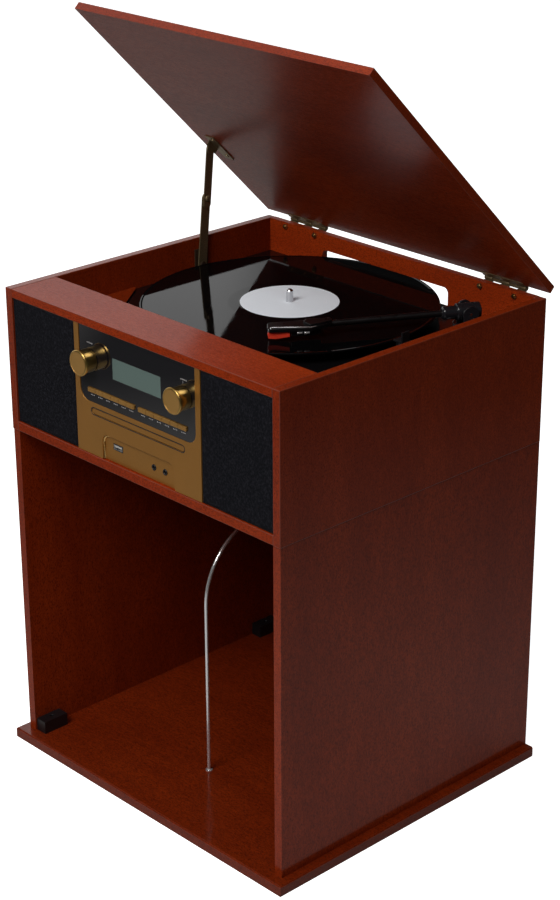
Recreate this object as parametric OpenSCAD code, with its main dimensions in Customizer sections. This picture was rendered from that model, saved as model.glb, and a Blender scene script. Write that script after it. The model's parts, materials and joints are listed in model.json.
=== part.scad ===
// Radio phonograph console: a floor stand for records, a radio and turntable unit
// on top of it, and a hinged lid held open by a folding stay.
// The origin is on the floor, under the middle of the radio unit.
// X runs to the right, Y to the back and Z up.

/* [Cabinet] */
// Width of the radio unit
unit_w = 393.6; // [390:0.2:400]
// Depth of the radio unit
unit_d = 357.4; // [356:0.2:360]
// Height of the radio unit without its lid
unit_h = 150.7; // [150:0.1:153]
// Height of the stand's side boards
stand_h = 347.7; // [300:0.1:400]
// Thickness of the side boards
side_t = 9.5; // [9:0.1:10]
// Thickness of the unit's bottom board
bottom_t = 10; // [9:0.1:11]
// Thickness of the unit's top board
top_t = 9; // [8:0.1:10]
// Depth of the top board in front of the record well
top_depth = 55.5; // [50:0.1:56]
// Thickness of the unit's back panel
back_t = 7.3; // [6:0.1:8]
// Step from the unit's side to the stand's side
stand_inset = 0.6; // [0:0.1:2]
// Step from the unit's front to the stand's front
stand_front_inset = 0.9; // [0:0.1:2]

/* [Base] */
// Thickness of the base board
base_t = 11; // [9:0.5:14]
// How far the base board stands out at each side
base_side = 10; // [5:0.5:15]
// How far the base board stands out at the front
base_front = 11.4; // [5:0.1:15]
// Chamfer along the base board's top edge
base_chamfer = 1.2; // [0.5:0.1:3]

/* [Record divider] */
// Radius of the divider's wire
wire_r = 1.8; // [1.5:0.1:2.5]
// Radius of the divider's arch
arch_r = 79; // [60:1:80]
// Height of the divider's straight legs above the floor board
leg_h = 190; // [150:1:220]
// Distance of the front leg from the stand's front
leg_front = 80; // [60:1:90]

/* [Lid] */
// Width of the lid
lid_w = 400.3; // [398:0.1:404]
// Depth of the lid
lid_d = 361.3; // [360:0.1:363]
// Thickness of the lid
lid_t = 8.4; // [8:0.1:9]
// Angle at which the stay holds the lid open
lid_open = 44.85; // [44:0.05:46]
// Gap between the closed lid and the unit's rim
lid_gap = 0.95; // [0.9:0.05:1.2]
// Distance of the hinge pin behind the back face
pin_back = 5.9; // [5.5:0.1:6.5]

/* [Turntable] */
// Radius of the long-playing record
record_r = 150.8; // [149:0.1:151]
// Radius of the platter
platter_r = 98.5; // [95:0.5:100]
// Sideways place of the record spindle
spindle_x = -19.7; // [-21:0.1:-18]
// Place of the record spindle from front to back
spindle_y = 40.3; // [39:0.1:41]
// Radius of the record spindle
spindle_r = 3.55; // [3.5:0.01:3.6]
// Distance of the deck's top below the rim
deck_drop = 36.5; // [36:0.1:37]
// Sideways place of the tonearm's pivot
arm_x = 147; // [145:0.5:149]
// Place of the tonearm's pivot from front to back
arm_y = 120; // [118:0.5:122]
// Distance from the tonearm's pivot to the stylus
arm_len = 196; // [192:0.5:198]
// Direction in which the tonearm points
arm_dir = -119.8; // [-122:0.1:-119]

/* [Front panel] */
// Half the width of the gold front plate
fascia_half = 91; // [90:0.5:92]
// Half the width of the black display panel
panel_half = 84; // [83:0.5:85]
// Radius of the display panel's lower corners
panel_corner = 12; // [8:1:14]
// Distance of the knobs from the middle
knob_x = 68; // [67:0.5:69]
// Radius of the knobs' front disc
knob_r = 13; // [11:0.5:14]
// Number of keys in each of the two rows
keys_per_row = 6; // [6:1:6]
// How far a key travels
key_travel = 1; // [0.5:0.1:1.2]
// How far the compact disc tray slides out
tray_travel = 125; // [100:5:130]

/* [Hidden] */
$fn = 96;

// Colours
wood = [0.42, 0.12, 0.06];
wood_in = [0.55, 0.22, 0.08];
black = [0.05, 0.05, 0.06];
gold = [0.62, 0.47, 0.22];
bronze = [0.33, 0.29, 0.19];
steel = [0.72, 0.72, 0.74];
cloth = [0.06, 0.07, 0.10];
board_green = [0.08, 0.32, 0.16];

// Cabinet faces
front_y = -unit_d / 2;
back_y = unit_d / 2;
in_x = unit_w / 2 - side_t;
unit_z = base_t + stand_h;
rim_z = unit_z + unit_h;
floor_z = unit_z + bottom_t;
top_z = rim_z - top_t;
stand_x = unit_w / 2 - stand_inset;
stand_in = stand_x - side_t;
stand_y = front_y + stand_front_inset;
well_y = front_y + top_depth;
well_board_t = 9;
back_in = back_y - back_t;
stand_back_t = 5;
stand_back_y = back_y - 6.5;

// Rear opening that the record's edge reaches through
slot_x0 = -106.3;
slot_x1 = 74.7;
slot_top = rim_z - 17.9;
slot_r = 6;

// Deck and turntable heights
deck_z = rim_z - deck_drop;
deck_t = 6;
deck_under = deck_z - deck_t;
record_top = deck_z + 13;
record_t = 2;
mat_t = 1.5;
mat_top = record_top - record_t;
platter_top = mat_top - mat_t;
platter_plate = 2.5;
skirt_z = deck_z + 2.5;
ring_r = 62;
pulley_r = 5.5;
pulley_dist = 78;
pulley_dir = -150;
pulley_x = spindle_x + pulley_dist * cos(pulley_dir);
pulley_y = spindle_y + pulley_dist * sin(pulley_dir);
belt_gap = 0.3;
belt_t = 0.8;
run_gap = 0.05;
platter_shaft_r = 4;
spindle_neck_r = spindle_r - 0.25;

// Tonearm heights
arm_z = rim_z - 11.4;
tube_r = 4;
tube_tilt = 0.3;
gimbal_gap = 0.3;
lift_pin_r = 1.5;

// Front panel depths and heights
gold_y = front_y + 1;
panel_y = front_y + 1.8;
panel_t = 1.5;
baffle_y = front_y + 4.1;
baffle_t = 9;
panel_z = unit_z + 65;
knob_z = unit_z + 108.3;
lcd_x = 35;
lcd_z0 = unit_z + 97.2;
lcd_z1 = unit_z + 118.7;
key_z = unit_z + 77.8;
key_h = 4.3;
key_in = 3;
key_row = 68.5;
key_gap = 0.5;
tray_z = unit_z + 56.5;
recess_half = 53;
recess_top = unit_z + 36.5;
recess_depth = 2.5;
socket_z = unit_z + 23.3;
usb_z = unit_z + 26.7;
jack_xs = [20.6, 36.7];
usb_x = -32.2;
board_y = front_y + 18.7;
board_t = 1.6;
speaker_x = 140;
speaker_z = unit_z + 75.5;
speaker_r = 36;

// Hinge and stay
hinge_y = back_y + pin_back;
hinge_z = rim_z + lid_gap + 0.3;
hinge_xs = [-140, 140];
hinge_w = 54;
knuckle_r = 2.6;
hinge_pin_r = 1.25;
leaf_t = 1.1;
lid_z = rim_z + lid_gap;
wall_pivot = [70, deck_z + 6.6];
lid_pivot_y = 46;
pivot_drop = 5.8;
lid_pivot = [
    hinge_y + cos(lid_open) * (lid_pivot_y - hinge_y) + sin(lid_open) * (lid_z - pivot_drop - hinge_z),
    hinge_z - sin(lid_open) * (lid_pivot_y - hinge_y) + cos(lid_open) * (lid_z - pivot_drop - hinge_z)
];
elbow_part = 0.575;
elbow = wall_pivot + elbow_part * (lid_pivot - wall_pivot);
upper_len = norm(lid_pivot - elbow);
stay_t = 1.5;
stay_gap = 0.3;
bracket_t = 1.2;
lower_x = -in_x + bracket_t + stay_gap;
upper_x = lower_x + stay_t + stay_gap;
tab_x = upper_x + stay_t + stay_gap;
stay_pin_r = 2;

// A box from its two opposite corners
module block(a, b) {
    translate(a) cube(b - a);
}

// A cylinder from a point along the Y axis
module rod_y(x, y, z, r, h) {
    translate([x, y, z]) rotate([-90, 0, 0]) cylinder(r = r, h = h);
}

// A cylinder from a point along the X axis
module rod_x(x, y, z, r, h) {
    translate([x, y, z]) rotate([0, 90, 0]) cylinder(r = r, h = h);
}

// A flat bar with round ends, from p to q in the YZ plane, starting at x
module bar_x(x, p, q, half_w, t) {
    length = norm(q - p);
    translate([x, p[0], p[1]]) rotate([atan2(q[1] - p[1], q[0] - p[0]), 0, 0]) {
        translate([0, 0, -half_w]) cube([t, length, 2 * half_w]);
        rotate([0, 90, 0]) cylinder(r = half_w, h = t);
        translate([0, length, 0]) rotate([0, 90, 0]) cylinder(r = half_w, h = t);
    }
}

// A slot with round ends in the XZ plane, centred on x = 0, starting at y
module slot_y(half_w, z, half_h, y, t) {
    block([-half_w + half_h, y, z - half_h], [half_w - half_h, y + t, z + half_h]);
    for (side = [-1, 1]) rod_y(side * (half_w - half_h), y, z, half_h, t);
}

// Turns the closed lid and what is fixed to it to the open position
module opened() {
    translate([0, hinge_y, hinge_z]) rotate([-lid_open, 0, 0])
        translate([0, -hinge_y, -hinge_z]) children();
}

// A board whose top edges are chamfered, with mitred corners
module chamfered_board(a, b, c, back = true) {
    size = b - a;
    back_edge = back ? [[size[1], size[2] - c], [size[1] - c, size[2]]] : [[size[1], size[2]]];
    intersection() {
        translate([0, b[1], 0]) rotate([90, 0, 0]) linear_extrude(size[1]) polygon([
            [a[0], a[2]], [b[0], a[2]], [b[0], b[2] - c], [b[0] - c, b[2]],
            [a[0] + c, b[2]], [a[0], b[2] - c]
        ]);
        translate([a[0], a[1], a[2]]) rotate([90, 0, 90]) linear_extrude(size[0])
            polygon(concat([[0, 0], [size[1], 0]], back_edge, [[c, size[2]], [0, size[2] - c]]));
    }
}

// ---- Stand ----

base_screw_ys = [stand_y + 40, 0, back_y - 40];
base_screw_r = 2;
leg_x = 2.5;
leg_ys = [stand_y + leg_front, stand_y + leg_front + 2 * arch_r];
leg_depth = 7;

module base_board() color(wood) difference() {
    chamfered_board([-stand_x - base_side, stand_y - base_front, 0],
        [stand_x + base_side, back_y + 0.2, base_t], base_chamfer, false);
    for (side = [-1, 1], y = base_screw_ys) translate([side * (stand_x - side_t / 2), y, 0]) {
        translate([0, 0, -1]) cylinder(r = base_screw_r, h = base_t + 2);
        translate([0, 0, -0.01]) cylinder(r = 4, h = 3.01);
    }
    for (y = leg_ys) translate([leg_x, y, base_t - leg_depth]) cylinder(r = wire_r, h = leg_depth + 1);
}

module stand_side(side) color(wood) difference() {
    x0 = side > 0 ? stand_in : -stand_x;
    block([x0, stand_y, base_t], [x0 + side_t, back_y, unit_z]);
    for (y = base_screw_ys)
        translate([side * (stand_x - side_t / 2), y, base_t - 1]) cylinder(r = base_screw_r, h = 23);
}

module stand_side_left() stand_side(-1);
module stand_side_right() stand_side(1);

module stand_back_panel() color(wood_in)
    block([-stand_in, stand_back_y, base_t], [stand_in, stand_back_y + stand_back_t, unit_z]);

// Plastic joint blocks in the lower corners, and two more in each upper corner
block_long = 30;
block_side = 14;
block_inset = 28;

module corner_block(side, y, z) {
    x0 = side > 0 ? stand_in - block_side : -stand_in;
    difference() {
        block([x0, y, z], [x0 + block_side, y + block_long, z + block_side]);
        translate([x0 + block_side / 2, y + block_long / 2, z - 1]) cylinder(r = 2.2, h = block_side + 2);
    }
}

module corner_blocks() color(black) {
    for (side = [-1, 1], y = [stand_y + (side < 0 ? 2 : block_inset), stand_back_y - block_long - 4]) {
        corner_block(side, y, base_t);
        if (y > 0) corner_block(side, y, unit_z - block_side);
    }
}

module record_divider() color(steel) {
    top = base_t + leg_h;
    for (y = leg_ys) translate([leg_x, y, 0]) {
        translate([0, 0, base_t - leg_depth + 0.5]) cylinder(r = wire_r, h = leg_h + leg_depth - 0.5, $fn = 48);
        translate([0, 0, base_t]) cylinder(r = 2 * wire_r, h = 0.8, $fn = 48);
    }
    translate([leg_x, leg_ys[0] + arch_r, top]) rotate([90, 0, 90])
        rotate_extrude(angle = 180, $fn = 128) translate([arch_r, 0]) circle(r = wire_r, $fn = 48);
}

// ---- Radio unit: boards ----

module unit_side(side) color(wood) {
    x0 = side > 0 ? in_x : -unit_w / 2;
    block([x0, front_y, unit_z], [x0 + side_t, back_y, rim_z]);
}

module unit_side_left() unit_side(-1);
module unit_side_right() unit_side(1);

module unit_bottom_board() color(wood)
    block([-in_x, front_y, unit_z], [in_x, back_y, floor_z]);

module unit_top_board() color(wood)
    block([-in_x, front_y, top_z], [in_x, well_y, rim_z]);

module well_front_board() color(wood_in)
    block([-in_x, well_y - well_board_t, deck_under - deck_flange], [in_x, well_y, top_z]);

socket_plate_z = unit_z + 40;
socket_plate = [150, 44];
hinge_bolt_dx = 22.4;
hinge_bolt_z = rim_z - 4.5;
hinge_bolt_r = 1.5;

module unit_back_panel() color(wood_in) difference() {
    block([-in_x, back_in, floor_z], [in_x, back_y, rim_z]);
    difference() {
        block([slot_x0, back_in - 1, deck_z - 3], [slot_x1, back_y + 1, slot_top]);
        for (x = [slot_x0, slot_x1]) slot_corner(x);
    }
    block([-socket_plate[0] / 2 + 8, back_in - 1, socket_plate_z - socket_plate[1] / 2 + 6],
        [socket_plate[0] / 2 - 8, back_y + 1, socket_plate_z + socket_plate[1] / 2 - 6]);
    for (x = hinge_xs, side = [-1, 1])
        rod_y(x + side * hinge_bolt_dx, back_in - 1, hinge_bolt_z, hinge_bolt_r, back_t + 2);
}

// The material left in an upper corner of the rear opening, outside its rounding
module slot_corner(x) {
    side = x > 0 ? -1 : 1;
    difference() {
        translate([min(x, x + side * slot_r), back_in - 2, slot_top - slot_r])
            cube([slot_r, back_t + 4, slot_r + 1]);
        rod_y(x + side * slot_r, back_in - 3, slot_top - slot_r, slot_r, back_t + 6);
    }
}

// ---- Radio unit: front panel ----

window_half = 83;
window_z0 = floor_z + 3;
window_z1 = top_z - 4;

module front_baffle() color(wood_in) difference() {
    block([-in_x, baffle_y, floor_z], [in_x, baffle_y + baffle_t, top_z]);
    for (side = [-1, 1]) rod_y(side * speaker_x, baffle_y - 1, speaker_z, speaker_r, baffle_t + 2);
    block([-window_half, baffle_y - 1, window_z0], [window_half, baffle_y + baffle_t + 1, window_z1]);
}

grille_margin = 0.3;
grille_frame = 9;
cloth_t = 1;

module grille(side) {
    x_in = fascia_half + grille_margin;
    x_out = in_x - grille_margin;
    x0 = side > 0 ? x_in : -x_out;
    x1 = side > 0 ? x_out : -x_in;
    z0 = floor_z + grille_margin;
    z1 = top_z - grille_margin;
    difference() {
        block([x0, front_y + 1.2, z0], [x1, baffle_y, z1]);
        block([x0 + grille_frame, front_y + 1.2 + cloth_t, z0 + grille_frame],
            [x1 - grille_frame, baffle_y + 1, z1 - grille_frame]);
    }
}

module grilles() color(cloth) {
    grille(-1);
    grille(1);
}

// Loudspeaker: a basket and cone of one profile, with its magnet behind
module speakers() color(black) for (side = [-1, 1])
    translate([side * speaker_x, baffle_y + baffle_t, speaker_z]) rotate([-90, 0, 0]) rotate_extrude()
        polygon([
            [0, 16], [10, 16], [12, 14], [31, -4], [34, -4], [34, 0], [41, 0], [41, 2],
            [34, 2], [19, 20], [26, 20], [26, 32], [0, 32]
        ]);

key_pitch = (key_row + key_gap) / keys_per_row;
key_w = key_pitch - key_gap;

// The slots for the two rows of keys, from y and t deep
module key_slots(margin, y, t) for (side = [-1, 1]) {
    mid = side * (key_in + key_row / 2);
    block([mid - key_row / 2 - margin, y, key_z - key_h / 2 - margin],
        [mid + key_row / 2 + margin, y + t, key_z + key_h / 2 + margin]);
}

// The display panel's outline as a solid: square at the top, round below
module panel_outline(half, z0, z1, r, y, t) {
    block([-half, y, z0 + r], [half, y + t, z1]);
    block([-half + r, y, z0], [half - r, y + t, z0 + r + 0.01]);
    for (side = [-1, 1]) rod_y(side * (half - r), y, z0 + r, r, t);
}

fascia_back = front_y + 8.7;
socket_back = fascia_back + 12;

module fascia() color(gold) difference() {
    union() {
        block([-fascia_half, gold_y, floor_z + 0.2], [fascia_half, baffle_y, top_z - 0.2]);
        block([-window_half + 0.3, baffle_y - 0.01, window_z0 + 0.3],
            [window_half - 0.3, fascia_back, window_z1 - 0.3]);
    }
    panel_outline(panel_half, panel_z, top_z + 1, panel_corner, gold_y - 1, panel_y + panel_t - gold_y + 1);
    panel_outline_flipped(recess_half, floor_z - 1, recess_top, 8, gold_y - 1, recess_depth + 1);
    slot_y(68, tray_z, 3.3, gold_y - 1, 20);
    key_slots(0.3, gold_y - 1, 20);
    block([-lcd_x - 1, gold_y - 1, lcd_z0 - 1], [lcd_x + 1, fascia_back + 1, lcd_z1 + 1]);
    for (side = [-1, 1]) rod_y(side * knob_x, gold_y - 1, knob_z, 4.2, 20);
    for (x = jack_xs) rod_y(x, gold_y - 1, socket_z, 3.1, 20);
    block([usb_x - 7.2, gold_y - 1, usb_z - 3.4], [usb_x + 7.2, fascia_back + 1, usb_z + 3.4]);
}

// The socket recess: round at the top and open below
module panel_outline_flipped(half, z0, z1, r, y, t) {
    block([-half, y, z0], [half, y + t, z1 - r]);
    block([-half + r, y, z1 - r - 0.01], [half - r, y + t, z1]);
    for (side = [-1, 1]) rod_y(side * (half - r), y, z1 - r, r, t);
}

module display_panel() color(black) difference() {
    panel_outline(panel_half, panel_z, top_z - 0.2, panel_corner, panel_y, panel_t);
    key_slots(0.3, panel_y - 1, 5);
    block([-lcd_x, panel_y - 1, lcd_z0], [lcd_x, panel_y + 5, lcd_z1]);
    for (side = [-1, 1]) rod_y(side * knob_x, panel_y - 1, knob_z, 4.2, 5);
}

module lcd_screen() color([0.45, 0.52, 0.45]) {
    block([-lcd_x, panel_y + 0.3, lcd_z0], [lcd_x, panel_y + panel_t, lcd_z1]);
    block([-lcd_x - 1, panel_y + panel_t, lcd_z0 - 1], [lcd_x + 1, fascia_back, lcd_z1 + 1]);
    block([-lcd_x - 3, fascia_back, lcd_z0 - 3], [lcd_x + 3, board_y, lcd_z1 + 3]);
}

// USB socket shell with its tongue, and two round jack sockets with real bores
module front_sockets() color(black) {
    face = gold_y + recess_depth;
    difference() {
        block([usb_x - 7.2, face, usb_z - 3.4], [usb_x + 7.2, socket_back, usb_z + 3.4]);
        block([usb_x - 6.2, face - 1, usb_z - 2.5], [usb_x + 6.2, socket_back - 1, usb_z + 2.5]);
    }
    block([usb_x - 5.6, face + 1, usb_z - 0.2], [usb_x + 5.6, socket_back, usb_z + 1.6]);
    for (x = jack_xs) difference() {
        union() {
            rod_y(x, face - 0.4, socket_z, 3.1, socket_back - face + 0.4);
            block([x - 5, fascia_back, socket_z - 5], [x + 5, socket_back, socket_z + 5]);
        }
        rod_y(x, face - 1, socket_z, 1.8, socket_back - face - 1);
    }
    block([-45, socket_back, usb_z - 12], [45, socket_back + board_t, usb_z + 6]);
}

pot_half = 8;
switch_y = board_y - 2.3;

// Circuit board with a rotary control behind each knob and a switch behind each key
module control_board() color(board_green) {
    difference() {
        union() {
            block([-80, board_y, unit_z + 68], [80, board_y + board_t, unit_z + 135]);
            for (side = [-1, 1]) block([side * knob_x - pot_half, fascia_back + 0.4, knob_z - pot_half],
                [side * knob_x + pot_half, board_y, knob_z + pot_half]);
        }
        for (side = [-1, 1])
            rod_y(side * knob_x, fascia_back - 1, knob_z, knob_shaft_r + run_gap, board_y - fascia_back + 1);
    }
    for (i = [1 : 2 * keys_per_row])
        block([key_mid(i) - 3, switch_y, key_z - 3], [key_mid(i) + 3, board_y, key_z + 3]);
}

// ---- Knobs and keys ----

knob_front = front_y - 13.5;
knob_back = panel_y - 0.4;
knob_shaft_r = 3;

module knob(side) color(gold) {
    depth = knob_back - knob_front;
    translate([side * knob_x, knob_front, knob_z]) rotate([-90, 0, 0]) {
        rotate_extrude() polygon([
            [0, 0.5], [knob_r - 1.6, 0.5], [knob_r - 0.9, 0], [knob_r - 0.5, 0], [knob_r, 0.6],
            [knob_r, 2.8], [knob_r - 1.2, 3.3], [knob_r - 2, depth - 3.4], [knob_r - 3, depth - 3.2],
            [knob_r - 3, depth - 2.4], [knob_r - 2.2, depth - 2.2], [knob_r - 2.4, depth], [0, depth]
        ]);
        translate([0, 0, depth - 0.01])
            cylinder(r = knob_shaft_r, h = board_y - 0.6 - knob_back, $fn = 48);
    }
}

module knob_left() knob(-1);
module knob_right() knob(1);

// Centre of key i, counted from the left across both rows
function key_mid(i) =
    (i > keys_per_row ? key_in : -key_in - key_row)
    + ((i - 1) % keys_per_row) * key_pitch + key_w / 2;

module key(i) color(gold) {
    x = key_mid(i);
    block([x - key_w / 2, front_y + 0.1, key_z - key_h / 2], [x + key_w / 2, panel_y + 1.2, key_z + key_h / 2]);
    block([x - 2.5, panel_y + 1, key_z - 1.3], [x + 2.5, switch_y - key_travel - 0.3, key_z + 1.3]);
}

// ---- Compact disc drive ----

tray_half = 65;
tray_t = 4;
tray_y0 = gold_y + 0.4;
tray_y1 = front_y + 148;
disc_y = front_y + 72;
disc_r = 60.6;

module cd_tray() color(gold) difference() {
    union() {
        slot_y(67.4, tray_z, 2.7, tray_y0, 3);
        block([-tray_half, tray_y0 + 2, tray_z - tray_t / 2], [tray_half, tray_y1, tray_z + tray_t / 2]);
    }
    translate([0, disc_y, tray_z + tray_t / 2 - 1.4]) cylinder(r = disc_r, h = 5);
    block([-19, disc_y - 10, tray_z - 5], [19, disc_y + 54, tray_z + 5]);
}

module cd_mechanism() color(steel) {
    z0 = tray_z - 14;
    z1 = tray_z + 11;
    difference() {
        block([-74, fascia_back + 0.4, z0], [74, front_y + 155, z1]);
        block([-tray_half - 0.4, fascia_back - 1, tray_z - tray_t / 2 - 0.4],
            [tray_half + 0.4, front_y + 152, tray_z + tray_t / 2 + 0.4]);
        block([-70, fascia_back + 3, tray_z + tray_t / 2 - 1], [70, front_y + 152, z1 - 1.2]);
        block([-70, fascia_back + 3, z0 + 1.2], [70, front_y + 152, tray_z - tray_t / 2 - 2]);
    }
    for (x = [-60, 60]) block([x - 4, front_y + 20, floor_z], [x + 4, front_y + 150, z0]);
    translate([0, disc_y, z0 + 1]) cylinder(r = 13, h = tray_z - tray_t / 2 - z0 - 2.6);
}

// ---- Power ----

module power_supply() color(steel) {
    x = -120;
    y = 70;
    block([x - 34, y - 20, floor_z], [x + 34, y + 20, floor_z + 2]);
    block([x - 28, y - 12, floor_z + 1.9], [x + 28, y + 12, floor_z + 48]);
    block([x - 17, y - 22, floor_z + 10], [x + 17, y + 22, floor_z + 40]);
}

inlet_x = -50;
rca_xs = [30, 48];
inlet_half = [9.2, 4.2];
inlet_depth = 12;

// Rear plate with the mains inlet's socket and two line-out sockets
module rear_socket_plate() color(black) {
    plate_back = back_y + 1.5;
    difference() {
        union() {
            block([-socket_plate[0] / 2, back_y, socket_plate_z - socket_plate[1] / 2],
                [socket_plate[0] / 2, plate_back, socket_plate_z + socket_plate[1] / 2]);
            block([inlet_x - 12, back_y - 14, socket_plate_z - 7], [inlet_x + 12, back_y + 0.01, socket_plate_z + 7]);
            for (x = rca_xs) rod_y(x, back_y - 4, socket_plate_z, 4.1, 13);
        }
        block([inlet_x - inlet_half[0], plate_back - inlet_depth, socket_plate_z - inlet_half[1]],
            [inlet_x + inlet_half[0], plate_back + 1, socket_plate_z + inlet_half[1]]);
        for (x = rca_xs) rod_y(x, back_y + 1, socket_plate_z, 1.65, 9);
        for (sx = [-1, 1], sz = [-1, 1]) rod_y(sx * (socket_plate[0] / 2 - 4), back_y - 1,
            socket_plate_z + sz * (socket_plate[1] / 2 - 4), 1.2, 5);
    }
    for (side = [-1, 1]) rod_y(inlet_x + side * 4.3, plate_back - inlet_depth - 0.5, socket_plate_z, 1.2, 9);
}

// ---- Turntable ----

deck_half = in_x - 0.3;
deck_flange = 20;
deck_screw_ys = [-80, 140];
bearing_r = 8;
bearing_top = deck_z + 1;
bearing_low = deck_under - 20;
arm_shaft_r = 4;
switch_x = 162;
switch_deck_y = -85;
switch_shaft_r = 3;

// Black deck with turned-down flanges, a spindle bearing and the bores for what turns in it
module deck_plate() color(black) difference() {
    union() {
        block([-deck_half, well_y + 0.3, deck_under], [deck_half, back_in - 0.3, deck_z]);
        for (side = [-1, 1]) block([side > 0 ? deck_half - 3 : -deck_half, well_y + 4, deck_under - deck_flange],
            [side > 0 ? deck_half : -deck_half + 3, back_in - 4, deck_under + 0.01]);
        translate([spindle_x, spindle_y, bearing_low]) cylinder(r = bearing_r, h = bearing_top - bearing_low);
        translate([arm_x, arm_y, deck_under - 8]) cylinder(r = 9, h = 8.01);
    }
    translate([spindle_x, spindle_y, bearing_low - 1]) cylinder(r = platter_shaft_r + run_gap, h = 40);
    translate([pulley_x, pulley_y, deck_under - 1]) cylinder(r = 8, h = deck_t + 2);
    translate([arm_x, arm_y, deck_under - 9]) cylinder(r = arm_shaft_r + run_gap, h = 20);
    translate([switch_x, switch_deck_y, deck_under - 1])
        cylinder(r = switch_shaft_r + run_gap, h = deck_t + 2);
    for (side = [-1, 1], y = deck_screw_ys)
        rod_x(side * deck_half - 5, y, deck_under - 10, 1.6, 10);
}

module spindle() color(steel) translate([spindle_x, spindle_y, 0]) rotate_extrude() polygon([
    [0, bearing_low - 2], [platter_shaft_r, bearing_low - 2], [platter_shaft_r, bearing_top + 0.3],
    [6, bearing_top + 0.3], [6, skirt_z - 0.5], [platter_shaft_r, skirt_z - 0.5],
    [platter_shaft_r, platter_top], [spindle_neck_r, platter_top], [spindle_neck_r, record_top],
    [spindle_r, record_top], [spindle_r, record_top + 11.2], [spindle_r - 0.8, record_top + 12.4],
    [spindle_r - 2, record_top + 13], [0, record_top + 13.2]
]);

module platter() color(steel) translate([spindle_x, spindle_y, 0]) rotate_extrude($fn = 180) polygon([
    [platter_shaft_r, skirt_z - 0.5], [9, skirt_z - 0.5], [9, platter_top - platter_plate],
    [ring_r - 3, platter_top - platter_plate], [ring_r - 3, skirt_z], [ring_r, skirt_z],
    [ring_r, platter_top - platter_plate], [platter_r - 3, platter_top - platter_plate],
    [platter_r - 3, skirt_z], [platter_r, skirt_z], [platter_r, platter_top - 0.6],
    [platter_r - 0.6, platter_top], [platter_shaft_r, platter_top]
]);

module platter_mat() color(black) translate([spindle_x, spindle_y, platter_top]) difference() {
    cylinder(r = platter_r - 1.5, h = mat_t);
    translate([0, 0, -1]) cylinder(r = spindle_r + 0.3, h = mat_t + 2);
}

module vinyl_record() color(black) translate([spindle_x, spindle_y, mat_top]) difference() {
    cylinder(r = record_r, h = record_t, $fn = 240);
    translate([0, 0, -1]) cylinder(r = spindle_r + 0.07, h = record_t + 2);
}

motor_h = 22;

module motor() color(steel) translate([pulley_x, pulley_y, deck_under - motor_h]) difference() {
    union() {
        cylinder(r = 17.5, h = motor_h - 1.5);
        block([-24, -8, motor_h - 1.5], [24, 8, motor_h]);
        cylinder(r = 4, h = motor_h + 2);
    }
    translate([0, 0, 6]) cylinder(r = 1 + run_gap, h = motor_h);
}

module motor_pulley() color(gold) translate([pulley_x, pulley_y, 0]) rotate_extrude() polygon([
    [0, deck_under - motor_h + 8], [1, deck_under - motor_h + 8], [1, deck_z + 2.2],
    [pulley_r + 1, deck_z + 2.2], [pulley_r + 1, deck_z + 3], [pulley_r, deck_z + 3.2],
    [pulley_r, deck_z + 6.2], [pulley_r + 1, deck_z + 6.4], [0, deck_z + 6.6]
]);

// Flat belt around the platter's inner ring and the pulley
module belt_outline(extra) hull() {
    circle(r = ring_r + extra, $fn = 120);
    translate([pulley_x - spindle_x, pulley_y - spindle_y]) circle(r = pulley_r + extra, $fn = 32);
}

module drive_belt() color(black) translate([spindle_x, spindle_y, deck_z + 3.6]) linear_extrude(2.4)
    difference() {
        belt_outline(belt_gap + belt_t);
        belt_outline(belt_gap);
    }

// ---- Tonearm ----

pedestal_top = deck_z + 11.1;
yoke_z = pedestal_top + gimbal_gap;
yoke_t = 2.2;
cheek_in = 9.3;
cheek_t = 2.5;
weight_r = 8.5;
weight_half = 12;
tube_end = 150;
head_start = 137;
head_turn = -14;
shell_low = -0.5;
shell_high = 4.8;
head_low = -7.5;

module tonearm_base() color(black) translate([arm_x, arm_y, 0]) difference() {
    rotate_extrude() polygon([
        [0, deck_z], [18, deck_z], [18, deck_z + 2], [15, deck_z + 3.2], [14, pedestal_top], [0, pedestal_top]
    ]);
    translate([0, 0, deck_z - 1]) cylinder(r = arm_shaft_r + run_gap, h = 20);
}

// Places children with +X along the arm, at the arm's pivot height
module along_arm() translate([arm_x, arm_y, arm_z]) rotate([0, 0, arm_dir]) children();

module tonearm_gimbal() color(black) {
    translate([arm_x, arm_y, deck_under - 6]) cylinder(r = arm_shaft_r, h = yoke_z - deck_under + 6.01);
    translate([arm_x, arm_y, yoke_z]) cylinder(r = 14.3, h = yoke_t);
    along_arm() for (side = [-1, 1]) difference() {
        union() {
            y0 = side > 0 ? cheek_in : -cheek_in - cheek_t;
            block([-7.5, y0, yoke_z - arm_z], [7.5, y0 + cheek_t, 0]);
            translate([0, y0, 0]) rotate([-90, 0, 0]) cylinder(r = 8, h = cheek_t);
        }
        translate([0, side * (cheek_in + cheek_t / 2) - 3, 0]) rotate([-90, 0, 0])
            cylinder(r = lift_pin_r + run_gap, h = 6);
    }
}

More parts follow.
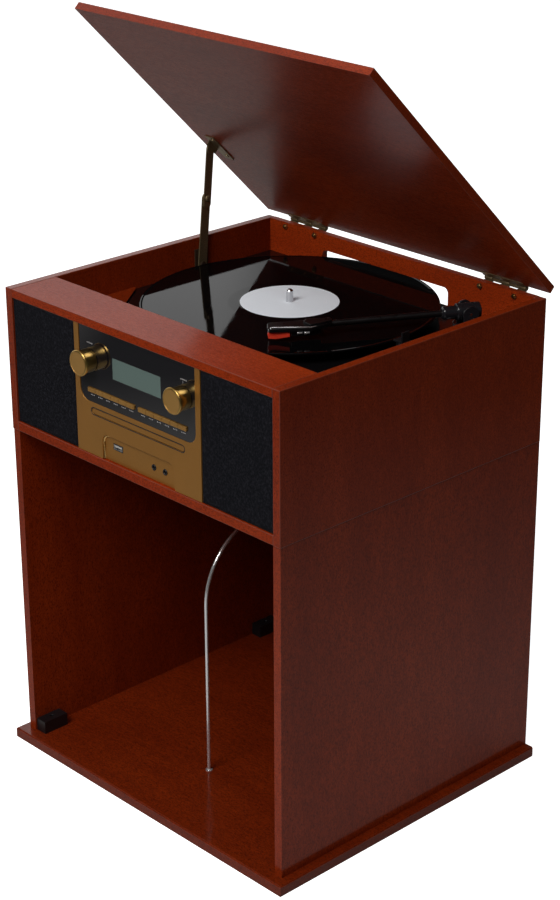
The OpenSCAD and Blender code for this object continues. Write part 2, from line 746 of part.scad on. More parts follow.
module tonearm() color(black) along_arm() {
    translate([-weight_half, 0, 0]) rotate([0, 90, 0]) cylinder(r = weight_r, h = 2 * weight_half);
    translate([0, -cheek_in - cheek_t, 0]) rotate([-90, 0, 0])
        cylinder(r = lift_pin_r, h = 2 * (cheek_in + cheek_t));
    rotate([0, 90 + tube_tilt, 0]) {
        cylinder(r = 6.5, h = 27);
        cylinder(r = tube_r, h = tube_end);
    }
    translate([0, 0, shell_low]) linear_extrude(shell_high - shell_low) polygon([
        [head_start, -4.2], [163, -8.8], [arm_len + 1, -9], [arm_len + 3.5, -6.5], [arm_len + 5, 5],
        [arm_len + 2, 9.5], [160, 14.5], [head_start + 11, 10], [head_start, 4.2]
    ]);
    translate([0, 0, head_low]) linear_extrude(shell_low - head_low + 0.01)
        polygon([[146, -3.5], [163, -5], [176, -2.5], [178.5, 9], [160, 11.5], [149, 8]]);
}

// Places children with the stylus on their origin and +X along the turned head
module along_head() along_arm() translate([arm_len, 0, 0]) rotate([0, 0, head_turn]) children();

module cartridge() color([0.75, 0.16, 0.08]) along_head() {
    tip = record_top + 0.3 - arm_z;
    translate([0, -6.5, 0]) rotate([90, 0, 0]) mirror([0, 0, 1]) linear_extrude(13) polygon([
        [-17.8, shell_low], [2.6, shell_low], [4, shell_low - 4], [3, tip + 2.6], [-4, tip + 2],
        [-17.8, tip + 4.4]
    ]);
    translate([0, 0, tip]) cylinder(r1 = 0.3, r2 = 1, h = 3, $fn = 24);
}

// Post beside the record, where the parked arm lies against an outer lip
park_turn = 30;
rest_reach = 95;

module arm_rest() color(black) translate([arm_x, arm_y, 0]) rotate([0, 0, arm_dir + park_turn])
    translate([rest_reach, 0, 0]) {
        top = arm_z - rest_reach * sin(tube_tilt) - tube_r - 0.5;
        translate([0, 0, deck_z]) cylinder(r = 6.5, h = 2);
        translate([0, 0, deck_z]) cylinder(r = 4, h = top - deck_z - 1);
        block([-5, -4.5, top - 2], [5, 7.4, top]);
        block([-5, 5.4, top - 0.01], [5, 7.4, top + 9]);
    }

module speed_switch() color(black) translate([switch_x, switch_deck_y, 0]) {
    translate([0, 0, deck_under - 2]) cylinder(r = switch_shaft_r, h = deck_t + 3);
    translate([0, 0, deck_z + 0.3]) cylinder(r = 9, h = 6);
    block([-2, -9, deck_z + 6], [2, 12, deck_z + 9]);
}

// ---- Lid, hinges and stay ----

module lid() color(wood) opened() difference() {
    chamfered_board([-lid_w / 2, back_y - lid_d, lid_z], [lid_w / 2, back_y, lid_z + lid_t], 0.7);
    for (x = hinge_xs)
        block([x - hinge_w / 2 - 0.2, back_y - 5.2, lid_z - 1], [x + hinge_w / 2 + 0.2, back_y + 1, lid_z + 0.5]);
}

knuckle_w = hinge_w / 5;
knuckle_gap = 0.3;

// Box leaves on the back panel's outer face, with the hinge pins fixed in them
module hinge_box_leaves() color(bronze) for (x = hinge_xs) {
    difference() {
        block([x - hinge_w / 2, back_y, rim_z - 9], [x + hinge_w / 2, back_y + 1.3, rim_z - 1]);
        for (side = [-1, 1]) rod_y(x + side * hinge_bolt_dx, back_y - 1, hinge_bolt_z, hinge_bolt_r, 4);
    }
    for (i = [-2, 0, 2]) {
        x0 = x + i * knuckle_w - knuckle_w / 2 + knuckle_gap;
        block([x0, back_y, rim_z - 2.1], [x0 + knuckle_w - 2 * knuckle_gap, hinge_y, rim_z - 1]);
        rod_x(x0, hinge_y, hinge_z, knuckle_r, knuckle_w - 2 * knuckle_gap);
    }
    rod_x(x - hinge_w / 2, hinge_y, hinge_z, hinge_pin_r, hinge_w);
}

// Lid leaves let into the lid's underside, whose knuckles turn on the pins
module hinge_lid_leaves() color(bronze) opened() for (x = hinge_xs) difference() {
    union() {
        block([x - hinge_w / 2, back_y - 5, lid_z + 0.5 - leaf_t], [x + hinge_w / 2, back_y + 2, lid_z + 0.5]);
        for (i = [-1, 1]) {
            x0 = x + i * knuckle_w - knuckle_w / 2 + knuckle_gap;
            block([x0, back_y + 1.9, lid_z + 0.5 - leaf_t],
                [x0 + knuckle_w - 2 * knuckle_gap, hinge_y, lid_z + 0.5]);
            rod_x(x0, hinge_y, hinge_z, knuckle_r, knuckle_w - 2 * knuckle_gap);
        }
    }
    rod_x(x - hinge_w / 2 - 1, hinge_y, hinge_z, hinge_pin_r + run_gap, hinge_w + 2);
}

module stay_wall_bracket() color(bronze) {
    block([-in_x, wall_pivot[0] - 9, deck_z + 0.4], [-in_x + bracket_t, wall_pivot[0] + 9, deck_z + 24]);
    rod_x(-in_x + bracket_t, wall_pivot[0], wall_pivot[1], stay_pin_r, stay_gap + stay_t + 0.3);
    rod_x(lower_x + stay_t + 0.2, wall_pivot[0], wall_pivot[1], 3.4, 1);
}

module stay_lower_arm() color(bronze) difference() {
    bar_x(lower_x, wall_pivot, elbow, 5.7, stay_t);
    rod_x(lower_x - 1, wall_pivot[0], wall_pivot[1], stay_pin_r + run_gap, stay_t + 2);
}

tail = 6;

module stay_upper_arm() color(bronze) {
    reach = elbow + tail * (elbow - lid_pivot) / upper_len;
    difference() {
        bar_x(upper_x, lid_pivot, reach, 5, stay_t);
        rod_x(upper_x - 1, lid_pivot[0], lid_pivot[1], stay_pin_r + run_gap, stay_t + 2);
    }
    rod_x(upper_x + stay_t - 0.01, elbow[0], elbow[1], 3.2, 1);
}

// Bracket on the lid's underside: a flange, and a tab that holds the pivot pin
module stay_lid_bracket() color(bronze) {
    opened() {
        block([tab_x, lid_pivot_y - 16, lid_z - bracket_t], [tab_x + 13, lid_pivot_y + 24, lid_z]);
        block([tab_x, lid_pivot_y - 8, lid_z - pivot_drop - 1], [tab_x + bracket_t, lid_pivot_y + 8, lid_z - 0.5]);
        for (y = [-10, 18]) translate([tab_x + 7.5, lid_pivot_y + y, lid_z - bracket_t - 0.7])
            cylinder(r = 2.4, h = 0.71);
    }
    rod_x(tab_x - 0.01, lid_pivot[0], lid_pivot[1], 5.2, bracket_t);
    rod_x(upper_x - 0.2, lid_pivot[0], lid_pivot[1], stay_pin_r, stay_t + stay_gap + 0.3);
}

// ---- Fasteners of the fixed cabinet ----

module case_screws() color(steel) {
    for (side = [-1, 1], y = base_screw_ys) translate([side * (stand_x - side_t / 2), y, 0.4]) {
        cylinder(r = base_screw_r, h = base_t + 20, $fn = 32);
        cylinder(r = 3.9, h = 2.4, $fn = 32);
    }
    for (x = hinge_xs, side = [-1, 1]) {
        bx = x + side * hinge_bolt_dx;
        rod_y(bx, back_in - 3.6, hinge_bolt_z, hinge_bolt_r, back_t + 5);
        rod_y(bx, back_y + 1.3, hinge_bolt_z, 2.2, 1.6);
        translate([bx, back_in, hinge_bolt_z]) rotate([90, 0, 0]) cylinder(r = 3, h = 2.2, $fn = 6);
    }
    for (side = [-1, 1], y = deck_screw_ys) {
        rod_x(side > 0 ? deck_half - 5 : -deck_half - 0.3, y, deck_under - 10, 1.6, 5.3);
        rod_x(side > 0 ? deck_half - 4.8 : -deck_half + 3, y, deck_under - 10, 3, 1.8);
    }
    for (sx = [-1, 1], sz = [-1, 1])
        rod_y(sx * (socket_plate[0] / 2 - 4), back_y, socket_plate_z + sz * (socket_plate[1] / 2 - 4), 1.2, 2.4);
}

base_board();
case_screws();
stand_side_left();
stand_side_right();
stand_back_panel();
corner_blocks();
record_divider();
unit_side_left();
unit_side_right();
unit_bottom_board();
unit_top_board();
well_front_board();
unit_back_panel();
front_baffle();
grilles();
speakers();
fascia();
display_panel();
lcd_screen();
front_sockets();
control_board();
cd_mechanism();
cd_tray();
power_supply();
rear_socket_plate();
deck_plate();
motor();
motor_pulley();
drive_belt();
spindle();
platter();
platter_mat();
vinyl_record();
tonearm_base();
tonearm_gimbal();
tonearm();
cartridge();
arm_rest();
speed_switch();
lid();
hinge_box_leaves();
hinge_lid_leaves();
stay_wall_bracket();
stay_lower_arm();
stay_upper_arm();
stay_lid_bracket();
knob_left();
knob_right();
key(1);  // key_1
key(2);  // key_2
key(3);  // key_3
key(4);  // key_4
key(5);  // key_5
key(6);  // key_6
key(7);  // key_7
key(8);  // key_8
key(9);  // key_9
key(10);  // key_10
key(11);  // key_11
key(12);  // key_12
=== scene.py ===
"""Radio phonograph console: finishes and fine detail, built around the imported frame."""

import json
import math

import bmesh
import bpy
from mathutils import Matrix, Vector


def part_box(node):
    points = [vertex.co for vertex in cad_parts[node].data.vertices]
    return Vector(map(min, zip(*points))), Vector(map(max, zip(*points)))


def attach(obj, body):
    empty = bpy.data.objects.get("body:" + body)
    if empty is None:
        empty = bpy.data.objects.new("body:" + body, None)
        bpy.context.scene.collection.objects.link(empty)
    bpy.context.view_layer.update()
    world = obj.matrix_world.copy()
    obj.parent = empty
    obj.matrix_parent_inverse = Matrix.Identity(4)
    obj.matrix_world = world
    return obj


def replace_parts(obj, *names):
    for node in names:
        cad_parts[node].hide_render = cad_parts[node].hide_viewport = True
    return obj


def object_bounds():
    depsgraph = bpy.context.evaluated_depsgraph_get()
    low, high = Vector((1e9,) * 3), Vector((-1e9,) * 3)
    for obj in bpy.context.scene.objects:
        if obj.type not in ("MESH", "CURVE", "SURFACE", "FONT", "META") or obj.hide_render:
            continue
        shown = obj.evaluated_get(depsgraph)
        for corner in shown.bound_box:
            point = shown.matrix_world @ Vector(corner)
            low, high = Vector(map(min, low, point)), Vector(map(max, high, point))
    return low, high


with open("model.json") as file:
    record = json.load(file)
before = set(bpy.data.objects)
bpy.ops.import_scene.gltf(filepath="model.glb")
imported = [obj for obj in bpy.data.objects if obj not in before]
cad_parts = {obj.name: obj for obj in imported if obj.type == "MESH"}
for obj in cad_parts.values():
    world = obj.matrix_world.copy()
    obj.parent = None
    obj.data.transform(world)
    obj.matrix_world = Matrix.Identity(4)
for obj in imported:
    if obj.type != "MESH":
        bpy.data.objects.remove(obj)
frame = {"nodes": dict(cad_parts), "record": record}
cad_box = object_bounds()
nodes = frame["nodes"]
joints = {j["name"]: j for j in frame["record"]["behaviour"]["joints"]}
scene = bpy.context.scene
MM = 0.001

X, Y, Z = Vector((1, 0, 0)), Vector((0, 1, 0)), Vector((0, 0, 1))

# The lens, its shift and the stand point were fitted to the object's own edges.
camera_data = bpy.data.cameras.new("camera")
camera_data.sensor_width = 36
camera_data.lens = 84.67
camera_data.shift_x, camera_data.shift_y = -0.0226, -0.0264
camera = bpy.data.objects.new("camera", camera_data)
camera.location = (1.4327, -1.3467, 1.1753)
aim = Vector((-0.0643, 0.0982, 0.3208))
camera.rotation_euler = (aim - camera.location).to_track_quat("-Z", "Y").to_euler()
scene.collection.objects.link(camera)
scene.camera = camera
scene.view_settings.view_transform = "Standard"


# ---------------------------------------------------------------- materials


class Finish:
    """A Principled material whose patterns lie in the object's own coordinates, in metres."""

    def __init__(self, name, colour, roughness, metallic=0.0, **sockets):
        self.material = bpy.data.materials.new(name)
        self.material.use_nodes = True
        self.tree = self.material.node_tree
        self.shader = self.tree.nodes["Principled BSDF"]
        self.set("Base Color", (*colour, 1))
        self.set("Roughness", roughness)
        self.set("Metallic", metallic)
        for socket, value in sockets.items():
            self.set(socket.replace("_", " "), value)
        self.place = self.node("ShaderNodeTexCoord").outputs["Object"]

    def set(self, socket, value):
        """Sets a constant, or links a pattern, to one of the shader's sockets."""
        target = self.shader.inputs[socket]
        if isinstance(value, bpy.types.NodeSocket):
            self.tree.links.new(value, target)
        else:
            target.default_value = value

    def node(self, kind, inputs=(), **settings):
        made = self.tree.nodes.new(kind)
        for name, value in settings.items():
            setattr(made, name, value)
        for key, value in dict(inputs).items():
            if isinstance(value, bpy.types.NodeSocket):
                self.tree.links.new(value, made.inputs[key])
            else:
                made.inputs[key].default_value = value
        return made

    def noise(self, scale, detail=3.0, rough=0.55, distortion=0.0, place=None):
        """Noise with so many features a metre along each axis."""
        scale = (scale,) * 3 if isinstance(scale, (int, float)) else scale
        vector = self.node("ShaderNodeMapping", {"Vector": place or self.place, "Scale": scale})
        return self.node(
            "ShaderNodeTexNoise",
            {"Vector": vector.outputs[0], "Scale": 1, "Detail": detail, "Roughness": rough,
             "Distortion": distortion},
        ).outputs["Fac"]

    def span(self, value, low, high, start=0.3, end=0.7):
        """Maps a pattern's start..end onto low..high."""
        return self.node(
            "ShaderNodeMapRange",
            {"Value": value, "From Min": start, "From Max": end, "To Min": low, "To Max": high},
        ).outputs["Result"]

    def ramp(self, value, *stops):
        """Colours a pattern: each stop is (position, colour)."""
        made = self.node("ShaderNodeValToRGB", {"Fac": value})
        band = made.color_ramp.elements
        while len(band) < len(stops):
            band.new(0.5)
        for element, (position, colour) in zip(band, stops):
            element.position = position
            element.color = (*colour, 1)
        return made.outputs["Color"]

    def mix(self, factor, a, b, mode="MIX"):
        made = self.node("ShaderNodeMix", data_type="RGBA", blend_type=mode)
        for socket, value in zip((made.inputs[0], made.inputs[6], made.inputs[7]), (factor, a, b)):
            if isinstance(value, bpy.types.NodeSocket):
                self.tree.links.new(value, socket)
            else:
                socket.default_value = value if isinstance(value, float) else (*value, 1)
        return made.outputs[2]

    def maths(self, operation, a, b=0.0):
        return self.node("ShaderNodeMath", {0: a, 1: b}, operation=operation).outputs[0]

    def bump(self, height, depth, strength=1.0):
        """Raises the surface by a pattern, depth metres from its low to its high."""
        self.set("Normal", self.node(
            "ShaderNodeBump", {"Height": height, "Distance": depth, "Strength": strength}
        ).outputs["Normal"])

    def radius(self, centre, axis=Z):
        """Distance in metres from a line through centre."""
        flat = tuple(1 - abs(v) for v in axis)
        moved = self.node("ShaderNodeVectorMath", {0: self.place, 1: tuple(centre)}, operation="SUBTRACT")
        level = self.node("ShaderNodeVectorMath", {0: moved.outputs[0], 1: flat}, operation="MULTIPLY")
        return self.node("ShaderNodeVectorMath", {0: level.outputs[0]}, operation="LENGTH").outputs["Value"]


def wood(name, grain, dark, light, coat=0.45, coat_roughness=0.15):
    """Stained veneer under satin lacquer; grain is the axis that its fibres follow."""

    def fine(along, across):
        return tuple(along if abs(g) > 0.5 else across for g in grain)

    made = Finish(name, light, 0.5, **{
        "Coat_Weight": coat, "Coat_Roughness": coat_roughness, "Specular_IOR_Level": 0.05,
    })
    figure = made.noise(fine(3, 16), 4, 0.6, 0.6)
    blotches = made.noise(fine(12, 15), 3, 0.6)
    fibres = made.noise(fine(120, 420), 3, 0.65)
    pores = made.noise(fine(480, 950), 2, 0.6)
    tone = made.ramp(figure, (0.2, dark), (0.8, light))
    tone = made.mix(made.span(blotches, 0.0, 0.35, 0.4, 0.7), tone, dark)
    tone = made.mix(made.span(fibres, 0.0, 0.45, 0.35, 0.7), tone, tuple(0.55 * c for c in dark))
    flecks = made.span(pores, 0.0, 0.8, 0.45, 0.68)
    made.set("Base Color", made.mix(flecks, tone, tuple(0.35 * c for c in dark)))
    made.set("Roughness", made.span(fibres, 0.42, 0.58))
    made.bump(made.maths("SUBTRACT", made.maths("MULTIPLY", fibres, 0.5), flecks), 0.00008)
    return made.material


def speckled(name, colour, roughness, size, metallic=0.0, depth=0.00002, vary=0.35, **sockets):
    """A moulded, sprayed or cast surface: fine grain in colour, roughness and relief."""
    made = Finish(name, colour, roughness, metallic, **sockets)
    grain = made.noise(size, 3)
    cloud = made.noise(size / 40, 3)
    dark = tuple(c * (1 - vary) for c in colour)
    tone = made.ramp(grain, (0.3, dark), (0.7, colour))
    tone = made.mix(made.span(cloud, 0.0, 0.35), tone, tuple(c * (1 - vary / 2) for c in colour))
    made.set("Base Color", tone)
    made.set("Roughness", made.span(cloud, roughness * 0.85, min(1, roughness * 1.2)))
    made.bump(grain, depth)
    return made.material


def brushed(name, colour, roughness, stretch, depth=0.00001, vary=0.3, metallic=1.0, **sockets):
    """Metal with straight brush lines; stretch is the number of features a metre along each axis."""
    made = Finish(name, colour, roughness, metallic, **sockets)
    lines = made.noise(stretch, 4, 0.65)
    stain = made.noise(24, 3)
    dark = tuple(c * (1 - vary) for c in colour)
    tone = made.ramp(lines, (0.3, dark), (0.65, colour))
    made.set("Base Color", made.mix(made.span(stain, 0.0, 0.4), tone, dark))
    made.set("Roughness", made.span(lines, roughness * 0.8, min(1, roughness * 1.25)))
    made.bump(lines, depth)
    return made.material


def turned(name, colour, roughness, centre, axis, pitch, depth=0.000008, metallic=1.0, **sockets):
    """Metal turned on a lathe: rings of uneven depth round its axis."""
    made = Finish(name, colour, roughness, metallic, **sockets)
    radius = made.radius(centre, axis)
    line = made.node("ShaderNodeCombineXYZ", {"X": radius}).outputs[0]
    rings = made.noise(1 / pitch, 3, 0.7, place=line)
    stain = made.noise(60, 3)
    tone = made.ramp(rings, (0.3, tuple(c * 0.78 for c in colour)), (0.7, colour))
    made.set("Base Color", made.mix(made.span(stain, 0.0, 0.3), tone, tuple(c * 0.7 for c in colour)))
    made.set("Roughness", made.span(rings, roughness * 0.8, roughness * 1.25))
    made.bump(rings, depth)
    return made.material


MAHOGANY_DARK, MAHOGANY_LIGHT = (0.30, 0.028, 0.0035), (0.51, 0.060, 0.0070)


def stain_and_shade(share, pair=(MAHOGANY_DARK, MAHOGANY_LIGHT)):
    """The veneer's two stained tones, darkened by a share: painted shade, so that boards lying in shade get
    darker copies of the one mahogany.
    """
    return tuple(tuple(share * c for c in tone) for tone in pair)


# Painted shade: one stained mahogany, darkened board by board by how much light each board gets; darkest for
# the stand's floor and back and the well's ledge.
wood_x = wood("mahogany_x", X, *stain_and_shade(0.87), 0.2)
wood_rail = wood("mahogany_rail", X, *stain_and_shade(0.8), 0.2)
wood_side = wood("mahogany_side", Z, *stain_and_shade(0.72))
wood_left = wood("mahogany_left", Z, *stain_and_shade(0.66))
wood_base = wood("mahogany_base", X, *stain_and_shade(0.46))
wood_lid = wood("mahogany_lid", X, *stain_and_shade(0.82), 0.5, 0.22)
wood_inner = wood("stained_inner", X, *stain_and_shade(1.0), 0.3, 0.3)
wood_back = wood("shaded_back", X, *stain_and_shade(0.42), 0.3, 0.3)
wood_ledge = wood("mahogany_ledge", Y, *stain_and_shade(0.5))
wood_edge = speckled("mahogany_edge", (0.24, 0.032, 0.008), 0.45, 700, vary=0.4, Coat_Weight=0.3,
                     Coat_Roughness=0.3)
gold = speckled("satin_gold", (0.43, 0.203, 0.042), 0.45, 2600, 0.6, 0.000008, 0.2)
# Painted highlight: a far lighter copy of the satin gold, for the rounded edge beside the socket recess.
highlight_gold = speckled("highlight_gold", (0.85, 0.55, 0.2), 0.28, 2600, 0.9, 0.000008, 0.2)
gold_key = brushed("key_gold", (0.62, 0.33, 0.085), 0.42, (3000, 60, 60), metallic=0.7)
black = speckled("moulded_black", (0.007, 0.007, 0.0085), 0.36, 3200, 0.0, 0.00002, 0.4)
deck_black = speckled("deck_black", (0.005, 0.0045, 0.005), 0.12, 2600, 0.0, 0.00002, 0.4)
shell_black = speckled("shell_black", (0.004, 0.0035, 0.004), 0.3, 4000, 0.0, 0.000006, 0.3,
                       Coat_Weight=0.1)
arm_black = speckled("arm_black", (0.012, 0.012, 0.015), 0.22, 4000, 0.0, 0.000006, 0.3,
                     Coat_Weight=0.4)
panel_black = speckled("panel_black", (0.009, 0.009, 0.0125), 0.05, 6000, 0.0, 0.0000004, 0.5, IOR=2.4)
bronze = speckled("antique_bronze", (0.31, 0.235, 0.13), 0.4, 900, 0.7, 0.00002, 0.5)
# Painted shade: a darkened copy of the bronze, so that the stay's wall bracket sinks into the shade beside it.
shaded_bronze = speckled("shaded_bronze", (0.06, 0.035, 0.02), 0.5, 900, 0.4, 0.00002, 0.4)
steel = brushed("zinc_plate", (0.50, 0.47, 0.38), 0.36, (300, 300, 1200))
yellow_zinc = speckled("yellow_zinc", (0.62, 0.46, 0.22), 0.3, 1500, 1.0, 0.00001, 0.35)
wire_chrome = brushed("wire_chrome", (0.95, 0.95, 0.97), 0.2, (300, 300, 60), 0.000002, 0.1, metallic=0.8)
chrome = brushed("polished_chrome", (0.86, 0.86, 0.88), 0.2, (40, 40, 1400), 0.000002, 0.1)
rubber = speckled("belt_rubber", (0.018, 0.018, 0.019), 0.75, 3000, 0.0, 0.00003, 0.4)
cone_paper = speckled("cone_paper", (0.02, 0.02, 0.022), 0.8, 1600, 0.0, 0.00005, 0.4)
paper = speckled("label_paper", (0.82, 0.88, 0.96), 0.55, 1900, 0.0, 0.00001, 0.06)
print_white = speckled("print_white", (0.36, 0.36, 0.38), 0.5, 3000, 0.0, 0.000004, 0.2)
stylus_red = speckled("stylus_red", (0.85, 0.055, 0.025), 0.22, 2200, 0.0, 0.000006, 0.3,
                      Subsurface_Weight=0.25, Coat_Weight=0.8)
socket_white = speckled("socket_white", (0.62, 0.62, 0.60), 0.4, 2600, 0.0, 0.000005, 0.1)
socket_red = speckled("socket_red", (0.45, 0.02, 0.015), 0.35, 2600, 0.0, 0.000005, 0.2)


def cloth_material():
    """Plain weave of near-black thread, a little uneven, over a dark backing."""
    pitch = 0.0011
    made = Finish("grille_weave", (0.006, 0.0065, 0.009), 0.95, Specular_IOR_Level=0.1)
    step = 2 * math.pi / pitch
    split = made.node("ShaderNodeSeparateXYZ", {"Vector": made.place}).outputs
    across = made.maths("SINE", made.maths("MULTIPLY", split["X"], step))
    up = made.maths("SINE", made.maths("MULTIPLY", split["Z"], step))
    over = made.maths("MULTIPLY", across, up)
    threads = made.span(over, 0.0, 1.0, -1.0, 1.0)
    slub = made.noise((520, 520, 380), 3, 0.75)
    tone = made.ramp(threads, (0.15, (0.0025, 0.0026, 0.004)), (0.85, (0.0065, 0.007, 0.0105)))
    made.set("Base Color", made.mix(made.span(slub, 0.0, 1.0, 0.46, 0.72), tone, (0.021, 0.0215, 0.029)))
    made.bump(made.maths("ADD", threads, made.maths("MULTIPLY", slub, 0.8)), 0.00025)
    return made.material


def vinyl_material(name, centre, grooved, ior):
    """Pressed vinyl: grooved with gaps between the tracks, or smooth as in the run-out and the rim."""
    made = Finish(name, (0.0022, 0.002, 0.0024), 0.05, IOR=ior)
    line = made.node("ShaderNodeCombineXYZ", {"X": made.radius(centre)}).outputs[0]
    grooves = made.noise(2600, 2, 0.6, place=line)
    tracks = made.noise(60, 0, place=line)
    gap = made.span(tracks, 1.0, 0.6, 0.495, 0.505)
    dust = made.noise(2400, 2)
    made.set("Base Color", made.ramp(dust, (0.62, (0.0015, 0.0014, 0.0017)), (0.84, (0.010, 0.0095, 0.011))))
    made.set("Roughness", made.span(gap, 0.02, 0.04 if grooved else 0.025, 0.6, 1.0))
    made.bump(made.maths("MULTIPLY", grooves, gap), 0.000006 if grooved else 0.000001)
    return made.material


def lcd_material():
    """Unlit liquid crystal under its window: grey-green, with fine cells and faint cloud."""
    made = Finish("display_glass", (0.09, 0.125, 0.11), 0.16, Coat_Weight=0.6, Coat_Roughness=0.05)
    cells = made.noise((2400, 40, 2400), 2)
    cloud = made.noise(30, 2)
    tone = made.ramp(cells, (0.35, (0.115, 0.170, 0.158)), (0.65, (0.142, 0.206, 0.192)))
    made.set("Base Color", made.mix(made.span(cloud, 0.0, 0.25), tone, (0.112, 0.158, 0.148)))
    made.set("Roughness", made.span(cells, 0.13, 0.2))
    made.bump(cells, 0.000003)
    return made.material


def board_material():
    """Coated circuit board with a pattern of square tracks."""
    made = Finish("circuit_board", (0.03, 0.16, 0.07), 0.35, Coat_Weight=0.4)
    tracks = made.node("ShaderNodeTexBrick", {
        "Vector": made.place, "Scale": 160.0, "Color1": (0.02, 0.12, 0.05, 1),
        "Color2": (0.03, 0.17, 0.07, 1), "Mortar": (0.10, 0.26, 0.10, 1), "Mortar Size": 0.06,
    }).outputs["Color"]
    grain = made.noise(1200, 2)
    made.set("Base Color", made.mix(made.span(grain, 0.0, 0.4), tracks, (0.015, 0.08, 0.035)))
    made.set("Roughness", made.span(grain, 0.3, 0.45))
    made.bump(grain, 0.00003)
    return made.material


# ---------------------------------------------------------------- mesh tools


def piece(name, mesh, body, material, smooth=True):
    """A finished mesh as a piece that rides on a CAD body."""
    bmesh.ops.recalc_face_normals(mesh, faces=mesh.faces)
    data = bpy.data.meshes.new(name)
    mesh.to_mesh(data)
    mesh.free()
    for face in data.polygons:
        face.use_smooth = smooth
    made = bpy.data.objects.new(name, data)
    scene.collection.objects.link(made)
    data.materials.append(material)
    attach(made, body)
    return made


def soften(obj, width, segments=3, angle=35.0):
    """Rounds an object's sharp edges, by a modifier."""
    bevel = obj.modifiers.new("rounded_edges", "BEVEL")
    bevel.width = width
    bevel.segments = segments
    bevel.limit_method = "ANGLE"
    bevel.angle_limit = math.radians(angle)
    bevel.harden_normals = True
    return obj


def turn_to(axis):
    """Rotation that takes Z to axis."""
    return axis.to_track_quat("Z", "Y").to_matrix().to_4x4()


def add_lathe(mesh, profile, centre, axis=Z, steps=96):
    """Turns a profile of (radius, height) points round an axis; heights run from centre."""
    place = Matrix.Translation(centre) @ turn_to(Vector(axis))
    rings = []
    for radius, height in profile:
        count = steps if radius > 1e-7 else 1
        turns = [2 * math.pi * i / count for i in range(count)]
        rings.append([mesh.verts.new(place @ Vector((radius * math.cos(t), radius * math.sin(t), height)))
                      for t in turns])
    for low, high in zip(rings, rings[1:]):
        for i in range(steps):
            j = (i + 1) % steps
            corners = [low[i % len(low)], low[j % len(low)], high[j % len(high)], high[i % len(high)]]
            unique = list(dict.fromkeys(corners))
            if len(unique) > 2:
                mesh.faces.new(unique)
    return mesh


def lathe(profile, centre, axis=Z, steps=96):
    return add_lathe(bmesh.new(), profile, centre, axis, steps)


def arc(centre, radius, start, end, steps=6):
    """Points of an arc in the plane of a profile, from one angle to another, in degrees."""
    return [
        (centre[0] + radius * math.cos(math.radians(start + (end - start) * i / steps)),
         centre[1] + radius * math.sin(math.radians(start + (end - start) * i / steps)))
        for i in range(steps + 1)
    ]


def rounded(half_w, half_h, radius, steps=6):
    """Outline of a rectangle with round corners, centred on the origin."""
    corners = [(1, 1, 0), (-1, 1, 90), (-1, -1, 180), (1, -1, 270)]
    return [p for sx, sy, turn in corners for p in
            arc((sx * (half_w - radius), sy * (half_h - radius)), radius, turn, turn + 90, steps)]


def add_plate(mesh, outline, place, depth, hole=None):
    """Extrudes an outline in place's XY plane along its Z, with an optional hole of as many points."""
    def ring(points, height):
        return [mesh.verts.new(place @ Vector((x, y, height))) for x, y in points]

    outer = [ring(outline, 0), ring(outline, depth)]
    count = len(outline)
    walls = [outer]
    if hole:
        inner = [ring(hole, 0), ring(hole, depth)]
        walls.append(inner)
        for level in (0, 1):
            for i in range(count):
                j = (i + 1) % count
                mesh.faces.new([outer[level][i], outer[level][j], inner[level][j], inner[level][i]])
    else:
        mesh.faces.new(outer[0])
        mesh.faces.new(outer[1])
    for low, high in walls:
        for i in range(count):
            j = (i + 1) % count
            mesh.faces.new([low[i], low[j], high[j], high[i]])
    return mesh


def facing_front(x, y, z):
    """Places an outline drawn in x and z, seen from the front, with its depth running forwards."""
    return Matrix.Translation((x, y, z)) @ Matrix.Rotation(math.radians(90), 4, "X")


def tube(points, radii, steps=20):
    """A round rod through points, with a radius at each."""
    mesh = bmesh.new()
    rings = []
    for i, (point, radius) in enumerate(zip(points, radii)):
        ahead = Vector(points[min(i + 1, len(points) - 1)]) - Vector(points[max(i - 1, 0)])
        place = Matrix.Translation(point) @ turn_to(ahead.normalized())
        rings.append([mesh.verts.new(place @ Vector((radius * math.cos(2 * math.pi * k / steps),
                                                     radius * math.sin(2 * math.pi * k / steps), 0)))
                      for k in range(steps)])
    for low, high in zip(rings, rings[1:]):
        for k in range(steps):
            mesh.faces.new([low[k], low[(k + 1) % steps], high[(k + 1) % steps], high[k]])
    mesh.faces.new(rings[0])
    mesh.faces.new(rings[-1])
    return mesh


def finish_node(name, material, ease=0.0, edge=None):
    """Gives a CAD node its material, and rounds its edges where ease is more than nothing."""
    obj = nodes[name]
    obj.data.materials.clear()
    obj.data.materials.append(material)
    if ease:
        obj.modifiers.new("joined", "WELD").merge_threshold = 1e-6
        flat = obj.modifiers.new("flat_faces", "DECIMATE")
        flat.decimate_type = "DISSOLVE"
        flat.angle_limit = math.radians(0.5)
        soften(obj, ease, 2, 30)
        if edge:
            obj.data.materials.append(edge)
            obj.modifiers["rounded_edges"].material = 1
    return obj


# ---------------------------------------------------------------- the frame's places

spindle = Vector(joints["platter_spin"]["pos_m"])
arm_pivot = Vector(joints["arm_lift"]["pos_m"])
record_low, record_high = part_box("vinyl_record")
record_r = (record_high.x - record_low.x) / 2
record_top = record_high.z
panel_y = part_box("display_panel")[0].y
fascia_low, fascia_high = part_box("fascia")
gold_y = fascia_low.y
tray_low, tray_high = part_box("cd_tray")
sockets_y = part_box("front_sockets")[0].y
deck_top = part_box("deck_plate")[1].z
hole_r = 3.62 * MM

# ---------------------------------------------------------------- cabinet

EASE = 0.7 * MM
# The boards take the lighter or darker copies of the mahogany made above: painted shade.
for name, material in {
    "base_board": wood_base, "stand_side_left": wood_left, "stand_side_right": wood_side,
    "unit_side_left": wood_left, "unit_side_right": wood_side, "unit_bottom_board": wood_rail,
    "unit_top_board": wood_x, "lid": wood_lid,
}.items():
    finish_node(name, material, EASE, wood_edge)
for name, material in {
    "stand_back_panel": wood_back, "well_front_board": wood_inner, "unit_back_panel": wood_inner,
    "front_baffle": wood_back,
}.items():
    finish_node(name, material)


